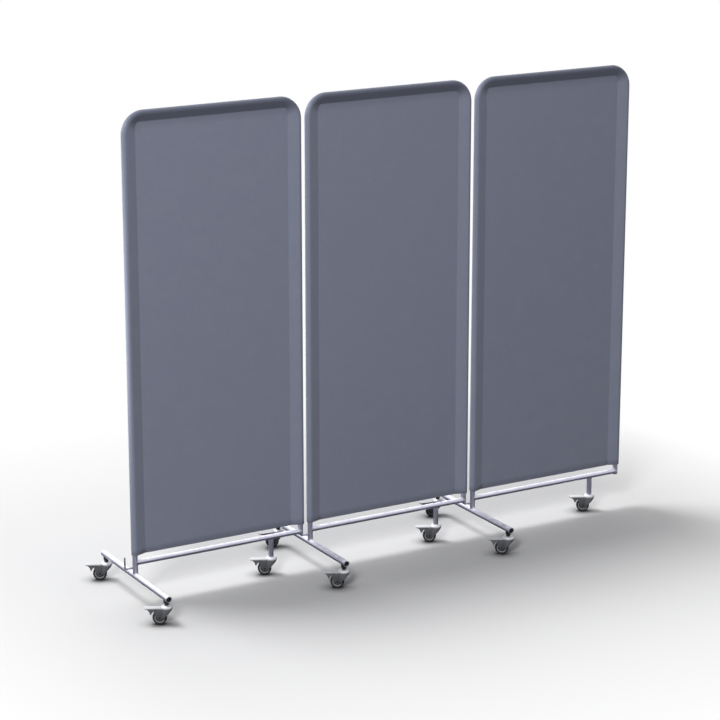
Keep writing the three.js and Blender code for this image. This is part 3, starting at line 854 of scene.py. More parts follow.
@dataclass
class TubeRun:
    """Round tube grown from a ring by straight runs and bends."""

    start: Vector
    direction: Vector
    radius: float
    sides: int = 40
    sharp: float = 60

    def __post_init__(self) -> None:
        """Lay the first ring square to the tube's direction."""
        self.bm = bmesh.new()
        turn = self.direction.to_track_quat("Z", "Y").to_matrix().to_4x4()
        place = Matrix.Translation(self.start) @ turn
        bmesh.ops.create_circle(
            self.bm, cap_ends=False, segments=self.sides, radius=self.radius, matrix=place
        )
        self.first = list(self.bm.verts)
        self.ring = list(self.bm.edges)

    def last(self) -> list:
        """Vertices of the ring at the growing end."""
        return list({v for e in self.ring for v in e.verts})

    def straight(self, move: Vector) -> "TubeRun":
        """Grow the tube along a straight run.

        Args:
            move: Length and direction of the run.

        Returns:
            The run itself.
        """
        verts, self.ring = extruded(self.bm, self.ring)
        bmesh.ops.translate(self.bm, vec=move, verts=verts)
        return self

    def bend(self, centre: Vector, steps: int) -> "TubeRun":
        """Grow the tube a quarter turn about the y axis through a centre.

        Args:
            centre: Centre of the bend.
            steps: Rings along it.

        Returns:
            The run itself.
        """
        geom = self.last() + self.ring
        quarter = math.radians(90)
        grown = bmesh.ops.spin(self.bm, geom=geom, cent=centre, axis=Y_AXIS, angle=quarter, steps=steps)
        self.ring = [g for g in grown["geom_last"] if isinstance(g, bmesh.types.BMEdge)]
        return self

    def walled(self, wall: float, rim: float) -> Mesh:
        """Give the tube its wall, and ease its rims.

        Args:
            wall: Thickness of the wall.
            rim: Width of the eased rims.

        Returns:
            The finished mesh.
        """
        bmesh.ops.recalc_face_normals(self.bm, faces=self.bm.faces)
        bmesh.ops.solidify(self.bm, geom=list(self.bm.faces), thickness=wall)
        return self.eased(rim, 1)

    def capped(self, rim: float) -> Mesh:
        """Close both ends and round their rims.

        Args:
            rim: Width of the rounded rims.

        Returns:
            The finished mesh.
        """
        bmesh.ops.edgeloop_fill(self.bm, edges=[e for e in self.bm.edges if e.is_boundary])
        bmesh.ops.recalc_face_normals(self.bm, faces=self.bm.faces)
        return self.eased(rim, 3)

    def eased(self, rim: float, segments: int) -> Mesh:
        """Round every sharp edge.

        Args:
            rim: Width of the rounding.
            segments: Faces across the rounding.

        Returns:
            The finished mesh.
        """
        self.bm.normal_update()
        least = math.radians(self.sharp)
        sharp = [e for e in self.bm.edges if len(e.link_faces) == 2 and e.calc_face_angle(0) > least]
        rounded_off(self.bm, sharp, rim, segments)
        return self.bm


@dataclass
class Weld:
    """Rippled weld bead round the foot of a tube that stands on another tube."""

    foot: Vector
    axis: Vector
    across: Vector
    tube: float
    onto: float
    bead: float = 1.9 * MM
    ripples: int = 34
    swell: float = 0.05

    def build(self) -> Mesh:
        """Lay the bead, sunk to the other tube's round surface.

        Returns:
            The bead's mesh.
        """
        bm = bmesh.new()
        place = Matrix.Translation((self.tube, 0, 0)) @ LAID_DOWN
        bmesh.ops.create_circle(bm, cap_ends=False, segments=10, radius=self.bead, matrix=place)
        turned(bm, self.ripples * 2)
        turn = Matrix((self.across, self.axis.cross(self.across), self.axis)).transposed()
        for vert in bm.verts:
            ripple = 1 + self.swell * math.cos(self.ripples * math.atan2(vert.co.y, vert.co.x))
            flat = Vector((vert.co.x, vert.co.y, 0)).normalized() * self.tube
            place = flat + (vert.co - flat) * ripple
            drop = saddle(self.onto, place.x) - self.onto
            vert.co = self.foot + turn @ place + self.axis * drop
        return facing_out(bm)


def dress(
    bm: Mesh, name: str, paint: Paint, body: str, node: str = "", sharp: float = 35,
) -> bpy.types.Object:
    """Turn a finished mesh into a piece that rides on its body.

    Args:
        bm: Finished mesh, in the row frame.
        name: Name of the piece.
        paint: Its finish.
        body: Body that it rides on.
        node: Node that it stands for, if any.
        sharp: Least angle of an edge that stays sharp in the shading.

    Returns:
        The piece.
    """
    bmesh.ops.remove_doubles(bm, verts=bm.verts, dist=WELD_DISTANCE)
    bmesh.ops.dissolve_degenerate(bm, edges=bm.edges, dist=WELD_DISTANCE)
    for face in bm.faces:
        face.smooth = True
    mesh = bpy.data.meshes.new(name)
    bm.to_mesh(mesh)
    bm.free()
    mesh.set_sharp_from_angle(angle=math.radians(sharp))
    mesh.materials.append(paint.value.build())
    piece = bpy.data.objects.new(name, mesh)
    bpy.context.scene.collection.objects.link(piece)
    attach(piece, body)
    if node:
        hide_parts(node)
    log.info("%s: %d triangles on %s", name, sum(len(p.vertices) - 2 for p in mesh.polygons), body)
    return piece


@dataclass
class PanelFrame:
    """Tubes of one panel: hoop, bottom rail with its leg, foot bar, link pin and bush."""

    panel: PanelName
    tube_radius: float = 9.5 * MM
    tube_wall: float = 1.5 * MM
    corner_radius: float = 70 * MM
    foot_radius: float = 11 * MM
    pin_radius: float = 3 * MM
    pin_bend_radius: float = 8 * MM
    pin_rim: float = 0.8 * MM
    seat_gap: float = 0.3 * MM
    rim: float = 0.3 * MM
    cap_bevel: float = 1.2 * MM
    cap_dish: float = 0.5 * MM
    cap_brim: float = 0.72
    cap_floor: float = 0.5
    cap_ease: float = 2 * MM
    bush_bore: float = 3.3 * MM
    bush_flange: float = 1.5 * MM
    bend_steps: int = 16
    pin_bend_steps: int = 8
    leg_lift: float = 3 * MM

    def __post_init__(self) -> None:
        """Read the tubes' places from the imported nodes."""
        self.name = self.panel.value
        self.body = f"{self.name}_panel"
        low, high = self.box("frame_tube")
        self.left = low.x + self.tube_radius
        self.right = high.x - self.tube_radius
        self.y = (low.y + high.y) / 2
        self.top = high.z - self.tube_radius
        low, high = self.box("bottom_rail")
        self.rail = high.z - self.tube_radius
        self.leg_end = low.z + self.leg_lift
        low, high = self.box("foot_bar")
        self.foot = (low.z + high.z) / 2
        self.foot_front, self.foot_back = low.y, high.y
        low, high = self.box("leg_caster_stem")
        self.leg = (low.x + high.x) / 2

    def box(self, node: str) -> tuple[Vector, Vector]:
        """Lowest and highest corner of one of the panel's nodes."""
        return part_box(f"{self.name}_{node}")

    def at(self, x: float, z: float) -> Vector:
        """Point in the panel's plane, at a place along the row and a height."""
        return Vector((x, self.y, z))

    def hoop(self) -> Mesh:
        """Bend the hoop, and cope its left post to the foot bar.

        Returns:
            The hoop's mesh.
        """
        corner = self.corner_radius
        run = TubeRun(self.at(self.left, self.foot), Z_AXIS, self.tube_radius)
        for vert in run.first:
            vert.co.z = self.foot + saddle(self.foot_radius + self.seat_gap, vert.co.x - self.left)
        run.straight(Z_AXIS * (self.rail - self.foot))
        for vert in run.last():
            vert.co.z = self.rail
        run.straight(Z_AXIS * (self.top - corner - self.rail))
        run.bend(self.at(self.left + corner, self.top - corner), self.bend_steps)
        run.straight(X_AXIS * (self.right - self.left - corner - corner))
        run.bend(self.at(self.right - corner, self.top - corner), self.bend_steps)
        run.straight(-Z_AXIS * (self.top - corner - (self.rail - self.tube_radius)))
        return run.walled(self.tube_wall, self.rim)

    def rail_and_leg(self) -> Mesh:
        """Cope the rail to the posts, and the leg to the rail.

        Returns:
            The mesh of both.
        """
        run = TubeRun(self.at(self.left, self.rail), X_AXIS, self.tube_radius)
        run.straight(X_AXIS * (self.right - self.left))
        for verts, post, side in ((run.first, self.left, 1), (run.last(), self.right, -1)):
            for vert in verts:
                vert.co.x = post + side * saddle(self.tube_radius + self.seat_gap, vert.co.y - self.y)
        leg = TubeRun(self.at(self.leg, self.leg_end), Z_AXIS, self.tube_radius)
        leg.straight(Z_AXIS * (self.rail - self.leg_end))
        for vert in leg.last():
            vert.co.z = self.rail - saddle(self.tube_radius, vert.co.y - self.y) + self.rim
        return joined(run.walled(self.tube_wall, self.rim), leg.walled(self.tube_wall, self.rim))

    def foot_bar(self) -> Mesh:
        """Cut the foot bar, open at both ends.

        Returns:
            The bar's mesh.
        """
        run = TubeRun(Vector((self.left, self.foot_front, self.foot)), Y_AXIS, self.foot_radius)
        run.straight(Y_AXIS * (self.foot_back - self.foot_front))
        return run.walled(self.tube_wall, self.rim)

    def plug(self, end: str, side: int) -> Mesh:
        """Turn a plug with an eased, slightly dished face.

        Args:
            end: The foot bar's end, front or back.
            side: -1 at the front end and 1 at the back.

        Returns:
            The plug's mesh.
        """
        low, high = self.box(f"{end}_cap")
        radius = (high.z - low.z) / 2
        depth = high.y - low.y
        profile = Outline(closed=False)
        profile.to(0, -depth).to(radius, -depth, 0.5 * MM).to(radius, 0, self.cap_bevel)
        profile.to(radius * self.cap_brim, 0, self.cap_ease)
        profile.to(radius * self.cap_floor, -self.cap_dish, self.cap_ease).to(0, -self.cap_dish)
        face = high.y if side > 0 else low.y
        turn = Matrix.Rotation(math.radians(-90 * side), 4, "X")
        return spun(profile, 40, Matrix.Translation((self.left, face, self.foot)) @ turn)

    def link_pin(self) -> Mesh:
        """Bend the link pin up beside the left post.

        Returns:
            The pin's mesh.
        """
        low, high = self.box("link_pin")
        arm = low.z + self.pin_radius
        bend = low.x + self.pin_radius + self.pin_bend_radius
        start = self.at(self.left - self.tube_radius, arm)
        run = TubeRun(start, -X_AXIS, self.pin_radius, sides=20)
        run.straight(X_AXIS * (bend - start.x))
        run.bend(self.at(bend, arm + self.pin_bend_radius), self.pin_bend_steps)
        run.straight(Z_AXIS * (high.z - arm - self.pin_bend_radius))
        return run.capped(self.pin_rim)

    def bush(self) -> Mesh:
        """Turn the flanged bush in the right post's open end.

        Returns:
            The bush's mesh.
        """
        low, high = self.box("pin_bush")
        height = high.z - low.z
        sleeve = self.tube_radius - self.tube_wall - self.seat_gap
        profile = Outline()
        profile.to(self.bush_bore, 0, 0.5 * MM).to(self.tube_radius, 0, 0.5 * MM)
        profile.to(self.tube_radius, self.bush_flange, 0.3 * MM).to(sleeve, self.bush_flange)
        profile.to(sleeve, height, 0.4 * MM).to(self.bush_bore, height, 0.4 * MM)
        return spun(profile, 40, Matrix.Translation(self.at(self.right, low.z)))

    def welds(self) -> Mesh:
        """Lay the welds at the foot bar, the rail's ends and the leg.

        Returns:
            The mesh of all four.
        """
        thin, coped = self.tube_radius, self.tube_radius + MM
        welds = (
            Weld(self.at(self.left, self.foot + self.foot_radius), Z_AXIS, X_AXIS, thin, self.foot_radius),
            Weld(self.at(self.left + thin, self.rail), X_AXIS, Y_AXIS, thin, coped),
            Weld(self.at(self.right - thin, self.rail), -X_AXIS, Y_AXIS, thin, coped),
            Weld(self.at(self.leg, self.rail - thin), -Z_AXIS, Y_AXIS, thin, coped),
        )
        return joined(*(weld.build() for weld in welds))

    def build(self) -> None:
        """Build and dress the frame's pieces."""
        for bm, title, paint, slot, node in (
            (self.hoop(), "hoop", Paint.TUBE, Slot.TUBE, "frame_tube"),
            (self.rail_and_leg(), "rail_and_leg", Paint.TUBE, Slot.TUBE, "bottom_rail"),
            (self.foot_bar(), "foot_tube", Paint.TUBE, Slot.TUBE, "foot_bar"),
            (self.welds(), "welds", Paint.TUBE, Slot.TUBE, ""),
            (self.plug("front", -1), "front_plug", Paint.BLACK, Slot.BLACK_PLASTIC, "front_cap"),
            (self.plug("back", 1), "back_plug", Paint.BLACK, Slot.BLACK_PLASTIC, "back_cap"),
            (self.link_pin(), "bent_pin", Paint.PIN, Slot.PIN_STEEL, "link_pin"),
            (self.bush(), "flanged_bush", Paint.BLACK, Slot.BLACK_PLASTIC, "pin_bush"),
        ):
            dress(bm, f"{self.name}_{title}", paint, self.body, node and f"{self.name}_{node}")


@dataclass
class Station:
    """Place on the hoop's centreline where a sleeve section stands."""

    centre: Vector
    outward: Vector
    seam: float
    radius: float

    def inset(self, distance: float) -> Vector:
        """Point in the sheet's plane at a distance inwards from the tube's centreline."""
        return self.centre - self.outward * distance


@dataclass
class Curtain:
    """Stretched curtain of one panel, with sleeves round the hoop, a folded hem and stitching."""

    frame: PanelFrame
    cloth: float = 0.8 * MM
    ease_top: float = 0.8 * MM
    ease_hem: float = 2.4 * MM
    hull: float = 1.6 * MM
    side_seam: float = 40 * MM
    top_seam: float = 27.5 * MM
    seam_border: float = 2.2 * MM
    seam_squareness: float = 5.0
    lap: float = 6 * MM
    hem_fold: float = 14 * MM
    hem_stitch_share: float = 0.85
    lap_layers: float = 1.1
    fold_layers: float = 1.15
    fold_sag: float = 0.4
    seam_thread_layers: float = 1.6
    hem_thread_layers: float = 1.65
    # Painted shade of the top sleeve: how it fades round the corners, and the painted shadow just under its
    # seam.
    shade_start: float = 0.3
    shade_span: float = 0.6
    shade_edge: float = 0.6
    seam_shadow_strength: float = 0.4
    seam_shadow_laps: float = 5
    stitch: float = 3.2 * MM
    stitch_gap: float = 1.0 * MM
    thread: float = 0.3 * MM
    side_steps: int = 58
    corner_steps: int = 7
    top_steps: int = 24
    wrap_steps: int = 22
    line_steps: int = 3

    def __post_init__(self) -> None:
        """Read the hem's height, and lay out the stations."""
        self.hem = self.frame.box("curtain")[0].z
        self.left_side, self.left_corner = self.flank(self.frame.left, -1)
        side, corner = self.flank(self.frame.right, 1)
        self.right_corner, self.right_side = corner[::-1], side[::-1]
        start = self.frame.left + self.frame.corner_radius
        run = self.frame.right - self.frame.corner_radius - start
        self.top_run = [
            self.station(start + run * step / self.top_steps, self.frame.top, 0, 1)
            for step in range(1, self.top_steps)
        ]

    def station(self, x: float, z: float, out_x: float, out_z: float) -> Station:
        """Make a station.

        Args:
            x: Place of the centreline along the row.
            z: Height of the centreline.
            out_x: Outward direction along the row.
            out_z: Outward direction upwards.

        Returns:
            The station.
        """
        share = (z - self.hem) / (self.frame.top - self.hem)
        ease = self.ease_hem + (self.ease_top - self.ease_hem) * share
        seam = self.frame.corner_radius - self.seam_reach(out_x, out_z)
        radius = self.frame.tube_radius + ease + self.hull - self.cloth / 2
        return Station(self.frame.at(x, z), Vector((out_x, 0, out_z)), seam, radius)

    def seam_reach(self, out_x: float, out_z: float) -> float:
        """Distance from a corner's centre to the seam, which turns tighter than the tube.

        Args:
            out_x: Outward direction along the row.
            out_z: Outward direction upwards.

        Returns:
            The distance.
        """
        corner, power = self.frame.corner_radius, self.seam_squareness
        across = (abs(out_x) / (corner - self.side_seam)) ** power
        return (across + (abs(out_z) / (corner - self.top_seam)) ** power) ** (-1 / power)

    def flank(self, post: float, way: int) -> tuple[list[Station], list[Station]]:
        """Lay out the stations up a post and round its top corner.

        Args:
            post: Place of the post along the row.
            way: -1 for the left post and 1 for the right.

        Returns:
            The post's stations from the hem up, and the corner's from the post to the top tube.
        """
        radius = self.frame.corner_radius
        centre_x, centre_z = post - way * radius, self.frame.top - radius
        rise = centre_z - self.hem
        side = [
            self.station(post, self.hem + rise * step / self.side_steps, way, 0)
            for step in range(self.side_steps)
        ]
        corner = []
        for step in range(2 * self.corner_steps + 1):
            angle = math.radians(90) * step / (2 * self.corner_steps)
            out_x, out_z = way * math.cos(angle), math.sin(angle)
            corner.append(self.station(centre_x + radius * out_x, centre_z + radius * out_z, out_x, out_z))
        return side, corner

    def section(self, station: Station) -> list[tuple[Vector, float]]:
        """Points of the sleeve at a station, from the sheet round the tube to the lap behind it.

        Args:
            station: The station.

        Returns:
            Each point with the length of cloth from the sheet's border to it.
        """
        radius, seam = station.radius, station.seam
        touch = math.acos(radius / seam)
        line = math.sqrt(seam * seam - radius * radius)
        flats = [0.0, self.seam_border / line]
        flats += [step / self.line_steps for step in range(1, self.line_steps)]
        run, drop = radius * math.cos(touch) - seam, radius * math.sin(touch)
        places = [(seam + run * share, -drop * share) for share in flats]
        for step in range(self.wrap_steps + 1):
            angle = touch + (math.tau - 2 * touch) * step / self.wrap_steps
            places.append((radius * math.cos(angle), -radius * math.sin(angle)))
        behind = self.cloth * self.lap_layers
        places += [(seam + run * share, max(drop * share, behind)) for share in reversed(flats)]
        places.append((seam + self.lap, behind))
        found = []
        length = self.seam_border
        before = Vector((seam, 0))
        for inward, y in places:
            here = Vector((inward, y))
            length += (here - before).length
            before = here
            found.append((station.inset(inward) + Y_AXIS * y, length))
        return found

    def sheet_grid(self, bm: Mesh) -> dict:
        """Lay the flat sheet as a grid that ends just inside the seams.

        Args:
            bm: Mesh to add to.

        Returns:
            The grid's border vertices, numbered from the left hem over the top to the right hem.
        """
        half = self.corner_steps
        lefts, rights, tops = (
            [s.inset(s.seam + self.seam_border) for s in line]
            for line in (
                self.left_side + self.left_corner[:half + 1],
                self.right_side[::-1] + self.right_corner[::-1][:half + 1],
                self.left_corner[half:] + self.top_run + self.right_corner[:half + 1],
            )
        )
        rows, columns = len(lefts), len(tops)
        verts = bmesh.ops.create_grid(bm, x_segments=columns - 1, y_segments=rows - 1, size=0.5)["verts"]
        for j in range(rows):
            v = (lefts[j].z - self.hem) / (lefts[-1].z - self.hem)
            for i in range(columns):
                u = (tops[i].x - tops[0].x) / (tops[-1].x - tops[0].x)
                low = lefts[0].lerp(rights[0], u)
                high = tops[0].lerp(tops[-1], u)
                along, up = lefts[j].lerp(rights[j], u), low.lerp(tops[i], v)
                verts[j * columns + i].co = along + up - low.lerp(high, v)
        chain = [verts[j * columns] for j in range(rows)]
        chain += [verts[(rows - 1) * columns + i] for i in range(1, columns - 1)]
        chain += [verts[j * columns + columns - 1] for j in reversed(range(rows))]
        return {vert: index for index, vert in enumerate(chain)}

    def cloth_mesh(self) -> Mesh:
        """Sew the sheet and its sleeves as one cloth, with its flat coordinates.

        Returns:
            The cloth's mesh.
        """
        bm = bmesh.new()
        flat = bm.loops.layers.uv.new("flat")
        # Per-vertex share of painted shade, read by the cloth's material to darken the top sleeve and a
        # strip under its seam.
        sleeve = bm.verts.layers.float.new("painted_sleeve_shade")
        chain = self.sheet_grid(bm)
        where = {v: Vector((v.co.x, v.co.z)) for v in bm.verts}
        stations = self.left_side + self.left_corner + self.top_run + self.right_corner + self.right_side
        sections = [self.section(s) for s in stations]
        edges = [e for e in bm.edges if e.is_boundary and set(e.verts) <= set(chain)]
        for ring in range(len(sections[0])):
            verts, edges = extruded(bm, edges)
            grown = {vert: chain[parent_of(vert, chain)] for vert in verts}
            for vert, index in grown.items():
                vert.co, length = sections[index][ring]
                seam = stations[index].inset(stations[index].seam + self.seam_border)
                where[vert] = (seam + stations[index].outward * length).xz
            chain = grown
        self.fold_hem(bm, where)
        for vert in bm.verts:
            vert[sleeve] = self.painted_top_shade(vert.co)
        for face in bm.faces:
            for loop in face.loops:
                loop[flat].uv = where[loop.vert]
        middle = min(bm.faces, key=lambda f: (f.calc_center_median() - self.frame.at(0, 1)).length)
        if middle.normal.y > 0:
            bmesh.ops.reverse_faces(bm, faces=bm.faces)
        return bm

    def painted_top_shade(self, place: Vector) -> float:
        """Work out how much painted shade the cloth's colour takes at a place.

        Args:
            place: Point of the cloth.

        Returns:
            1 on the top sleeve, fading round the corners, and a soft painted shadow just under its seam.
        """
        corner = self.frame.corner_radius
        height = place.z - (self.frame.top - corner)
        if height <= 0:
            return 0.0
        middle_x = (self.frame.left + self.frame.right) / 2
        aside = max(abs(place.x - middle_x) - (middle_x - self.frame.left - corner), 0)
        reach = math.hypot(height, aside)
        rise = height / reach
        round_share = min(max((rise - self.shade_start) / self.shade_span, 0), 1)
        below = self.seam_reach(aside / reach, rise) - self.seam_border * self.shade_edge - reach
        seam_shadow = self.seam_shadow_strength * max(1 - below / (self.lap * self.seam_shadow_laps), 0)
        depth = 1.0 if below <= 0 else seam_shadow
        return round_share * round_share * (3 - 2 * round_share) * depth

    def fold_hem(self, bm: Mesh, where: dict) -> None:
        """Turn the lower edge up inside, except where the sleeve closes at its seam.

        Args:
            bm: Mesh of the cloth.
            where: Flat place of each vertex, which this adds to.
        """
        bmesh.ops.recalc_face_normals(bm, faces=bm.faces)
        bm.normal_update()
        row = {v: v for v in bm.verts if abs(v.co.z - self.hem) < WELD_DISTANCE}
        edges = [e for e in bm.edges if e.is_boundary and set(e.verts) <= set(row) and self.folds_at(e)]
        sample = min(row, key=lambda v: abs(v.co.x - (self.frame.left + self.frame.right) / 2))
        gap = self.cloth * self.fold_layers * (-1 if sample.normal.y < 0 else 1)
        normals = {v: v.normal.copy() for v in row}
        for inwards, lift in ((0.5, -self.fold_sag * self.cloth), (1.0, 0.0), (1.0, self.hem_fold)):
            verts, edges = extruded(bm, edges)
            row = {vert: row[parent_of(vert, row)] for vert in verts}
            for vert, root in row.items():
                vert.co = root.co + normals[root] * gap * inwards + Z_AXIS * lift
                where[vert] = where[root] - Vector((0, lift))

    def folds_at(self, edge: bmesh.types.BMEdge) -> bool:
        """Tell whether the hem is turned up along an edge, as it isn't where layers meet at a side seam.

        Args:
            edge: Edge of the cloth's lower border.

        Returns:
            Whether it is.
        """
        middle = (edge.verts[0].co.x + edge.verts[1].co.x) / 2
        in_from_post = min(middle - self.frame.left, self.frame.right - middle)
        return abs(in_from_post - self.side_seam) >= self.lap + self.seam_border

    def stitches(self) -> Mesh:
        """Sew the lines of stitches along the seams and the hem, on both faces.

        Returns:
            The mesh of all stitches.
        """
        bm = bmesh.new()
        turning = self.left_side[:1] + self.left_corner + self.right_corner + self.right_side[-1:]
        seam = [s.inset(s.seam + self.seam_border * 0.5) for s in turning]
        height = self.hem + self.hem_fold * self.hem_stitch_share
        hem = [Vector((p.x, p.y, height)) for p in (seam[0], seam[-1])]
        for line, layers in ((seam, self.seam_thread_layers), (hem, self.hem_thread_layers)):
            self.sew(bm, line, -self.cloth / 2, 0.0)
            self.sew(bm, line, self.cloth * layers, 0.5)
        return bm

    def sew(self, bm: Mesh, line: list[Vector], y: float, shift: float) -> None:
        """Lay stitches along a line.

        Args:
            bm: Mesh to add to.
            line: Points of the line.
            y: Height of the thread's middle off the sheet's middle plane.
            shift: Share of a pitch by which the first stitch starts late.
        """
        pitch = self.stitch + self.stitch_gap
        rest = pitch * shift
        shape = Matrix.Diagonal((self.stitch / 2, self.thread, self.thread, 1))
        for start, end in zip(line, line[1:]):
            run = (end - start).length
            count = math.ceil((run - rest) / pitch)
            if count >= 1:
                direction = (end - start).normalized()
                turn = direction.to_track_quat("X", "Z").to_matrix().to_4x4()
                place = Matrix.Translation(start + direction * rest + Y_AXIS * y)
                self.stitch_row(bm, place @ turn @ shape, direction * pitch, count)
                rest += count * pitch
            rest -= run

    @staticmethod
    def stitch_row(bm: Mesh, first: Matrix, step: Vector, count: int) -> None:
        """Lay a straight row of stitches by doubling what is laid.

        Args:
            bm: Mesh to add to.
            first: Place and shape of the first stitch.
            step: Move from one stitch to the next.
            count: Number of stitches.
        """
        row = bmesh.new()
        bmesh.ops.create_icosphere(row, subdivisions=1, radius=1, matrix=first)
        corners = len(row.verts)
        laid = 1
        while laid < count:
            more = min(laid, count - laid)
            verts = list(row.verts)[:corners * more]
            edges = list({e for v in verts for e in v.link_edges})
            faces = list({f for v in verts for f in v.link_faces})
            copied = bmesh.ops.duplicate(row, geom=verts + edges + faces)["geom"]
            moved = [g for g in copied if isinstance(g, bmesh.types.BMVert)]
            bmesh.ops.translate(row, vec=step * laid, verts=moved)
            laid += more
        carry_over(row, bm)

    def build(self) -> None:
        name, body = self.frame.name, self.frame.body
        piece = dress(
            self.cloth_mesh(), f"{name}_cloth", Paint.CLOTH, body, f"{name}_curtain", sharp=60
        )
        layer = piece.modifiers.new("cloth_thickness", "SOLIDIFY")
        layer.thickness = self.cloth
        layer.offset = 0.0
        thread = dress(self.stitches(), f"{name}_stitching", Paint.THREAD, body)
        wrap = self.section(self.left_side[0])[-1][1] - self.side_seam
        height = self.frame.top - self.hem + self.section(self.top_run[0])[-1][1] - self.top_seam


@dataclass
class Caster:
    """Braked swivel caster: fork, wheel, pedal and stem, built about its swivel axis.

    In its own frame the axis is at x = y = 0 and the wheel trails along +X.
    """

    frame: PanelFrame
    spot: Spot
    wheel_radius: float = 25 * MM
    trail: float = 23.7 * MM
    fork_width: float = 24 * MM
    fork_plate: float = 2 * MM
    plate_rim: float = 0.45 * MM
    press_radius: float = 0.8 * MM
    eye_radius: float = 9.5 * MM
    hood_radius: float = 21 * MM
    hood_flat: float = 12 * MM
    hood_base: float = 57.9 * MM
    hood_top: float = 67.9 * MM
    hood_rim: float = 3 * MM
    hood_sheet: float = 2.2 * MM
    hood_steps: int = 8
    deck_top: float = 56 * MM
    deck_thickness: float = 3.5 * MM
    front_drop: float = 5.5 * MM
    plate_front: float = -15 * MM
    housing_radius: float = 20 * MM
    back_reach: float = 21.8 * MM
    back_drop: float = 7.5 * MM
    back_chamfer: float = 8.5 * MM
    nose_thickness: float = 2.5 * MM
    wheel_gap: float = 2.5 * MM
    stem_bore: float = 4.3 * MM
    stem_radius: float = 4 * MM
    plug_radius: float = 7.7 * MM
    head_radius: float = 6.5 * MM
    head_height: float = 3 * MM
    boss_foot: float = 7 * MM
    boss_collar: float = 1.6 * MM
    boss_radius: float = 10.4 * MM
    boss_straight: float = 4 * MM
    axle_radius: float = 3 * MM
    rivet_head: float = 1 * MM
    pin_radius: float = 2 * MM
    pin_head: float = 0.4 * MM
    tyre_depth: float = 7 * MM
    tyre_half: float = 8 * MM
    hub_end: float = 9.5 * MM
    hub_radius: float = 7 * MM
    cover_side: float = 5.8 * MM
    web_side: float = 4.5 * MM
    ring_side: float = 7.9 * MM
    ring_width: float = 3.4 * MM
    groove_width: float = 2.4 * MM
    pedal_reach: float = 76 * MM
    pedal_width: float = 24 * MM
    pedal_thickness: float = 4.4 * MM
    pedal_gap: float = 0.8 * MM
    pedal_tip: float = 4 * MM
    pedal_pin_angle: float = 66.6
    pedal_pin_distance: float = 30.9 * MM
    pedal_boss: float = 4.4 * MM
    boss_from: float = 190
    boss_short: float = 12
    shoe_pull: float = 3 * MM
    web_inset: float = 2.5 * MM
    shoe_gap: float = 6.7 * MM
    shoe_thickness: float = 4.2 * MM
    shoe_angle: float = 21
    shoe_root_angle: float = 54
    shoe_steps: int = 10
    seat_gap: float = 0.3 * MM

    def __post_init__(self) -> None:
        """Read the caster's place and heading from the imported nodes, and lay out its fork and pedal."""
        self.name = f"{self.frame.name}_{self.spot.value}"
        low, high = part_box(f"{self.name}_caster_stem")
        axis = (low + high) / 2
        self.stem_top = high.z
        low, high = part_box(f"{self.name}_caster_wheel")
        wheel = (low + high) / 2
        self.heading = math.atan2(wheel.y - axis.y, wheel.x - axis.x)
        self.place = Matrix.Translation((axis.x, axis.y, 0)) @ Matrix.Rotation(self.heading, 4, "Z")
        self.half = self.fork_width / 2
        self.axle = Vector((self.trail, self.wheel_radius))
        self.pin = self.from_axle(self.pedal_pin_angle, self.pedal_pin_distance)
        self.pedal_low = self.deck_top + self.pedal_gap
        hood_front = math.sqrt(self.hood_radius ** 2 - self.half ** 2)
        self.front = Vector((-hood_front, self.hood_base - self.front_drop))
        self.back = Vector((self.trail + self.back_reach, self.deck_top - self.back_drop))
        self.tip = eye_corner(self.axle, self.eye_radius, self.front, self.back)
        self.slope = (self.tip - self.front).normalized()
        self.start = self.front + self.slope * ((self.plate_front - self.front.x) / self.slope.x)

    def from_axle(self, angle: float, distance: float) -> Vector:
        """Point at an angle and a distance from the axle, along the trail and up."""
        turn = math.radians(angle)
        return self.axle + Vector((math.cos(turn), math.sin(turn))) * distance

    @staticmethod
    def across(x: float = 0.0, y: float = 0.0, z: float = 0.0) -> Matrix:
        """Placing at a point that turns a body's own y up, and its own z across to -y."""
        return Matrix.Translation((x, y, z)) @ LAID_DOWN

    def fork_side(self) -> Outline:
        """Outline of a fork plate: wide under the hood, narrowing to an eye about the axle.

        Returns:
            The outline, along the trail and up.
        """
        outline = Outline(steps=10)
        outline.to(self.start.x, self.deck_top - MM).to(self.start.x, self.start.y, self.press_radius)
        outline.to(self.tip.x, self.tip.y, self.eye_radius).to(self.back.x, self.back.y, 2 * MM)
        outline.to(self.back.x - self.back_chamfer, self.deck_top, 2 * MM)
        return outline.to(self.start.x + MM, self.deck_top)

    def hood(self) -> Mesh:
        """Turn the fork's round hood, which covers the swivel's balls.

        Returns:
            The hood's mesh.
        """
        rim = self.hood_base + self.hood_rim
        under = self.hood_base + self.hood_sheet
        inner = self.hood_radius - self.hood_sheet
        hood = Outline(steps=8)
        hood.to(self.stem_bore, self.hood_top, 0.4 * MM)
        for step in range(self.hood_steps + 1):
            angle = math.radians(90 - 90 * step / self.hood_steps)
            reach = (self.hood_radius - self.hood_flat) * math.cos(angle)
            hood.to(self.hood_flat + reach, rim + (self.hood_top - rim) * math.sin(angle))
        hood.to(self.hood_radius, self.hood_base, 1.0 * MM).to(inner, self.hood_base, 0.6 * MM)
        return spun(hood.to(inner, under, 0.6 * MM).to(self.stem_bore, under), 56)

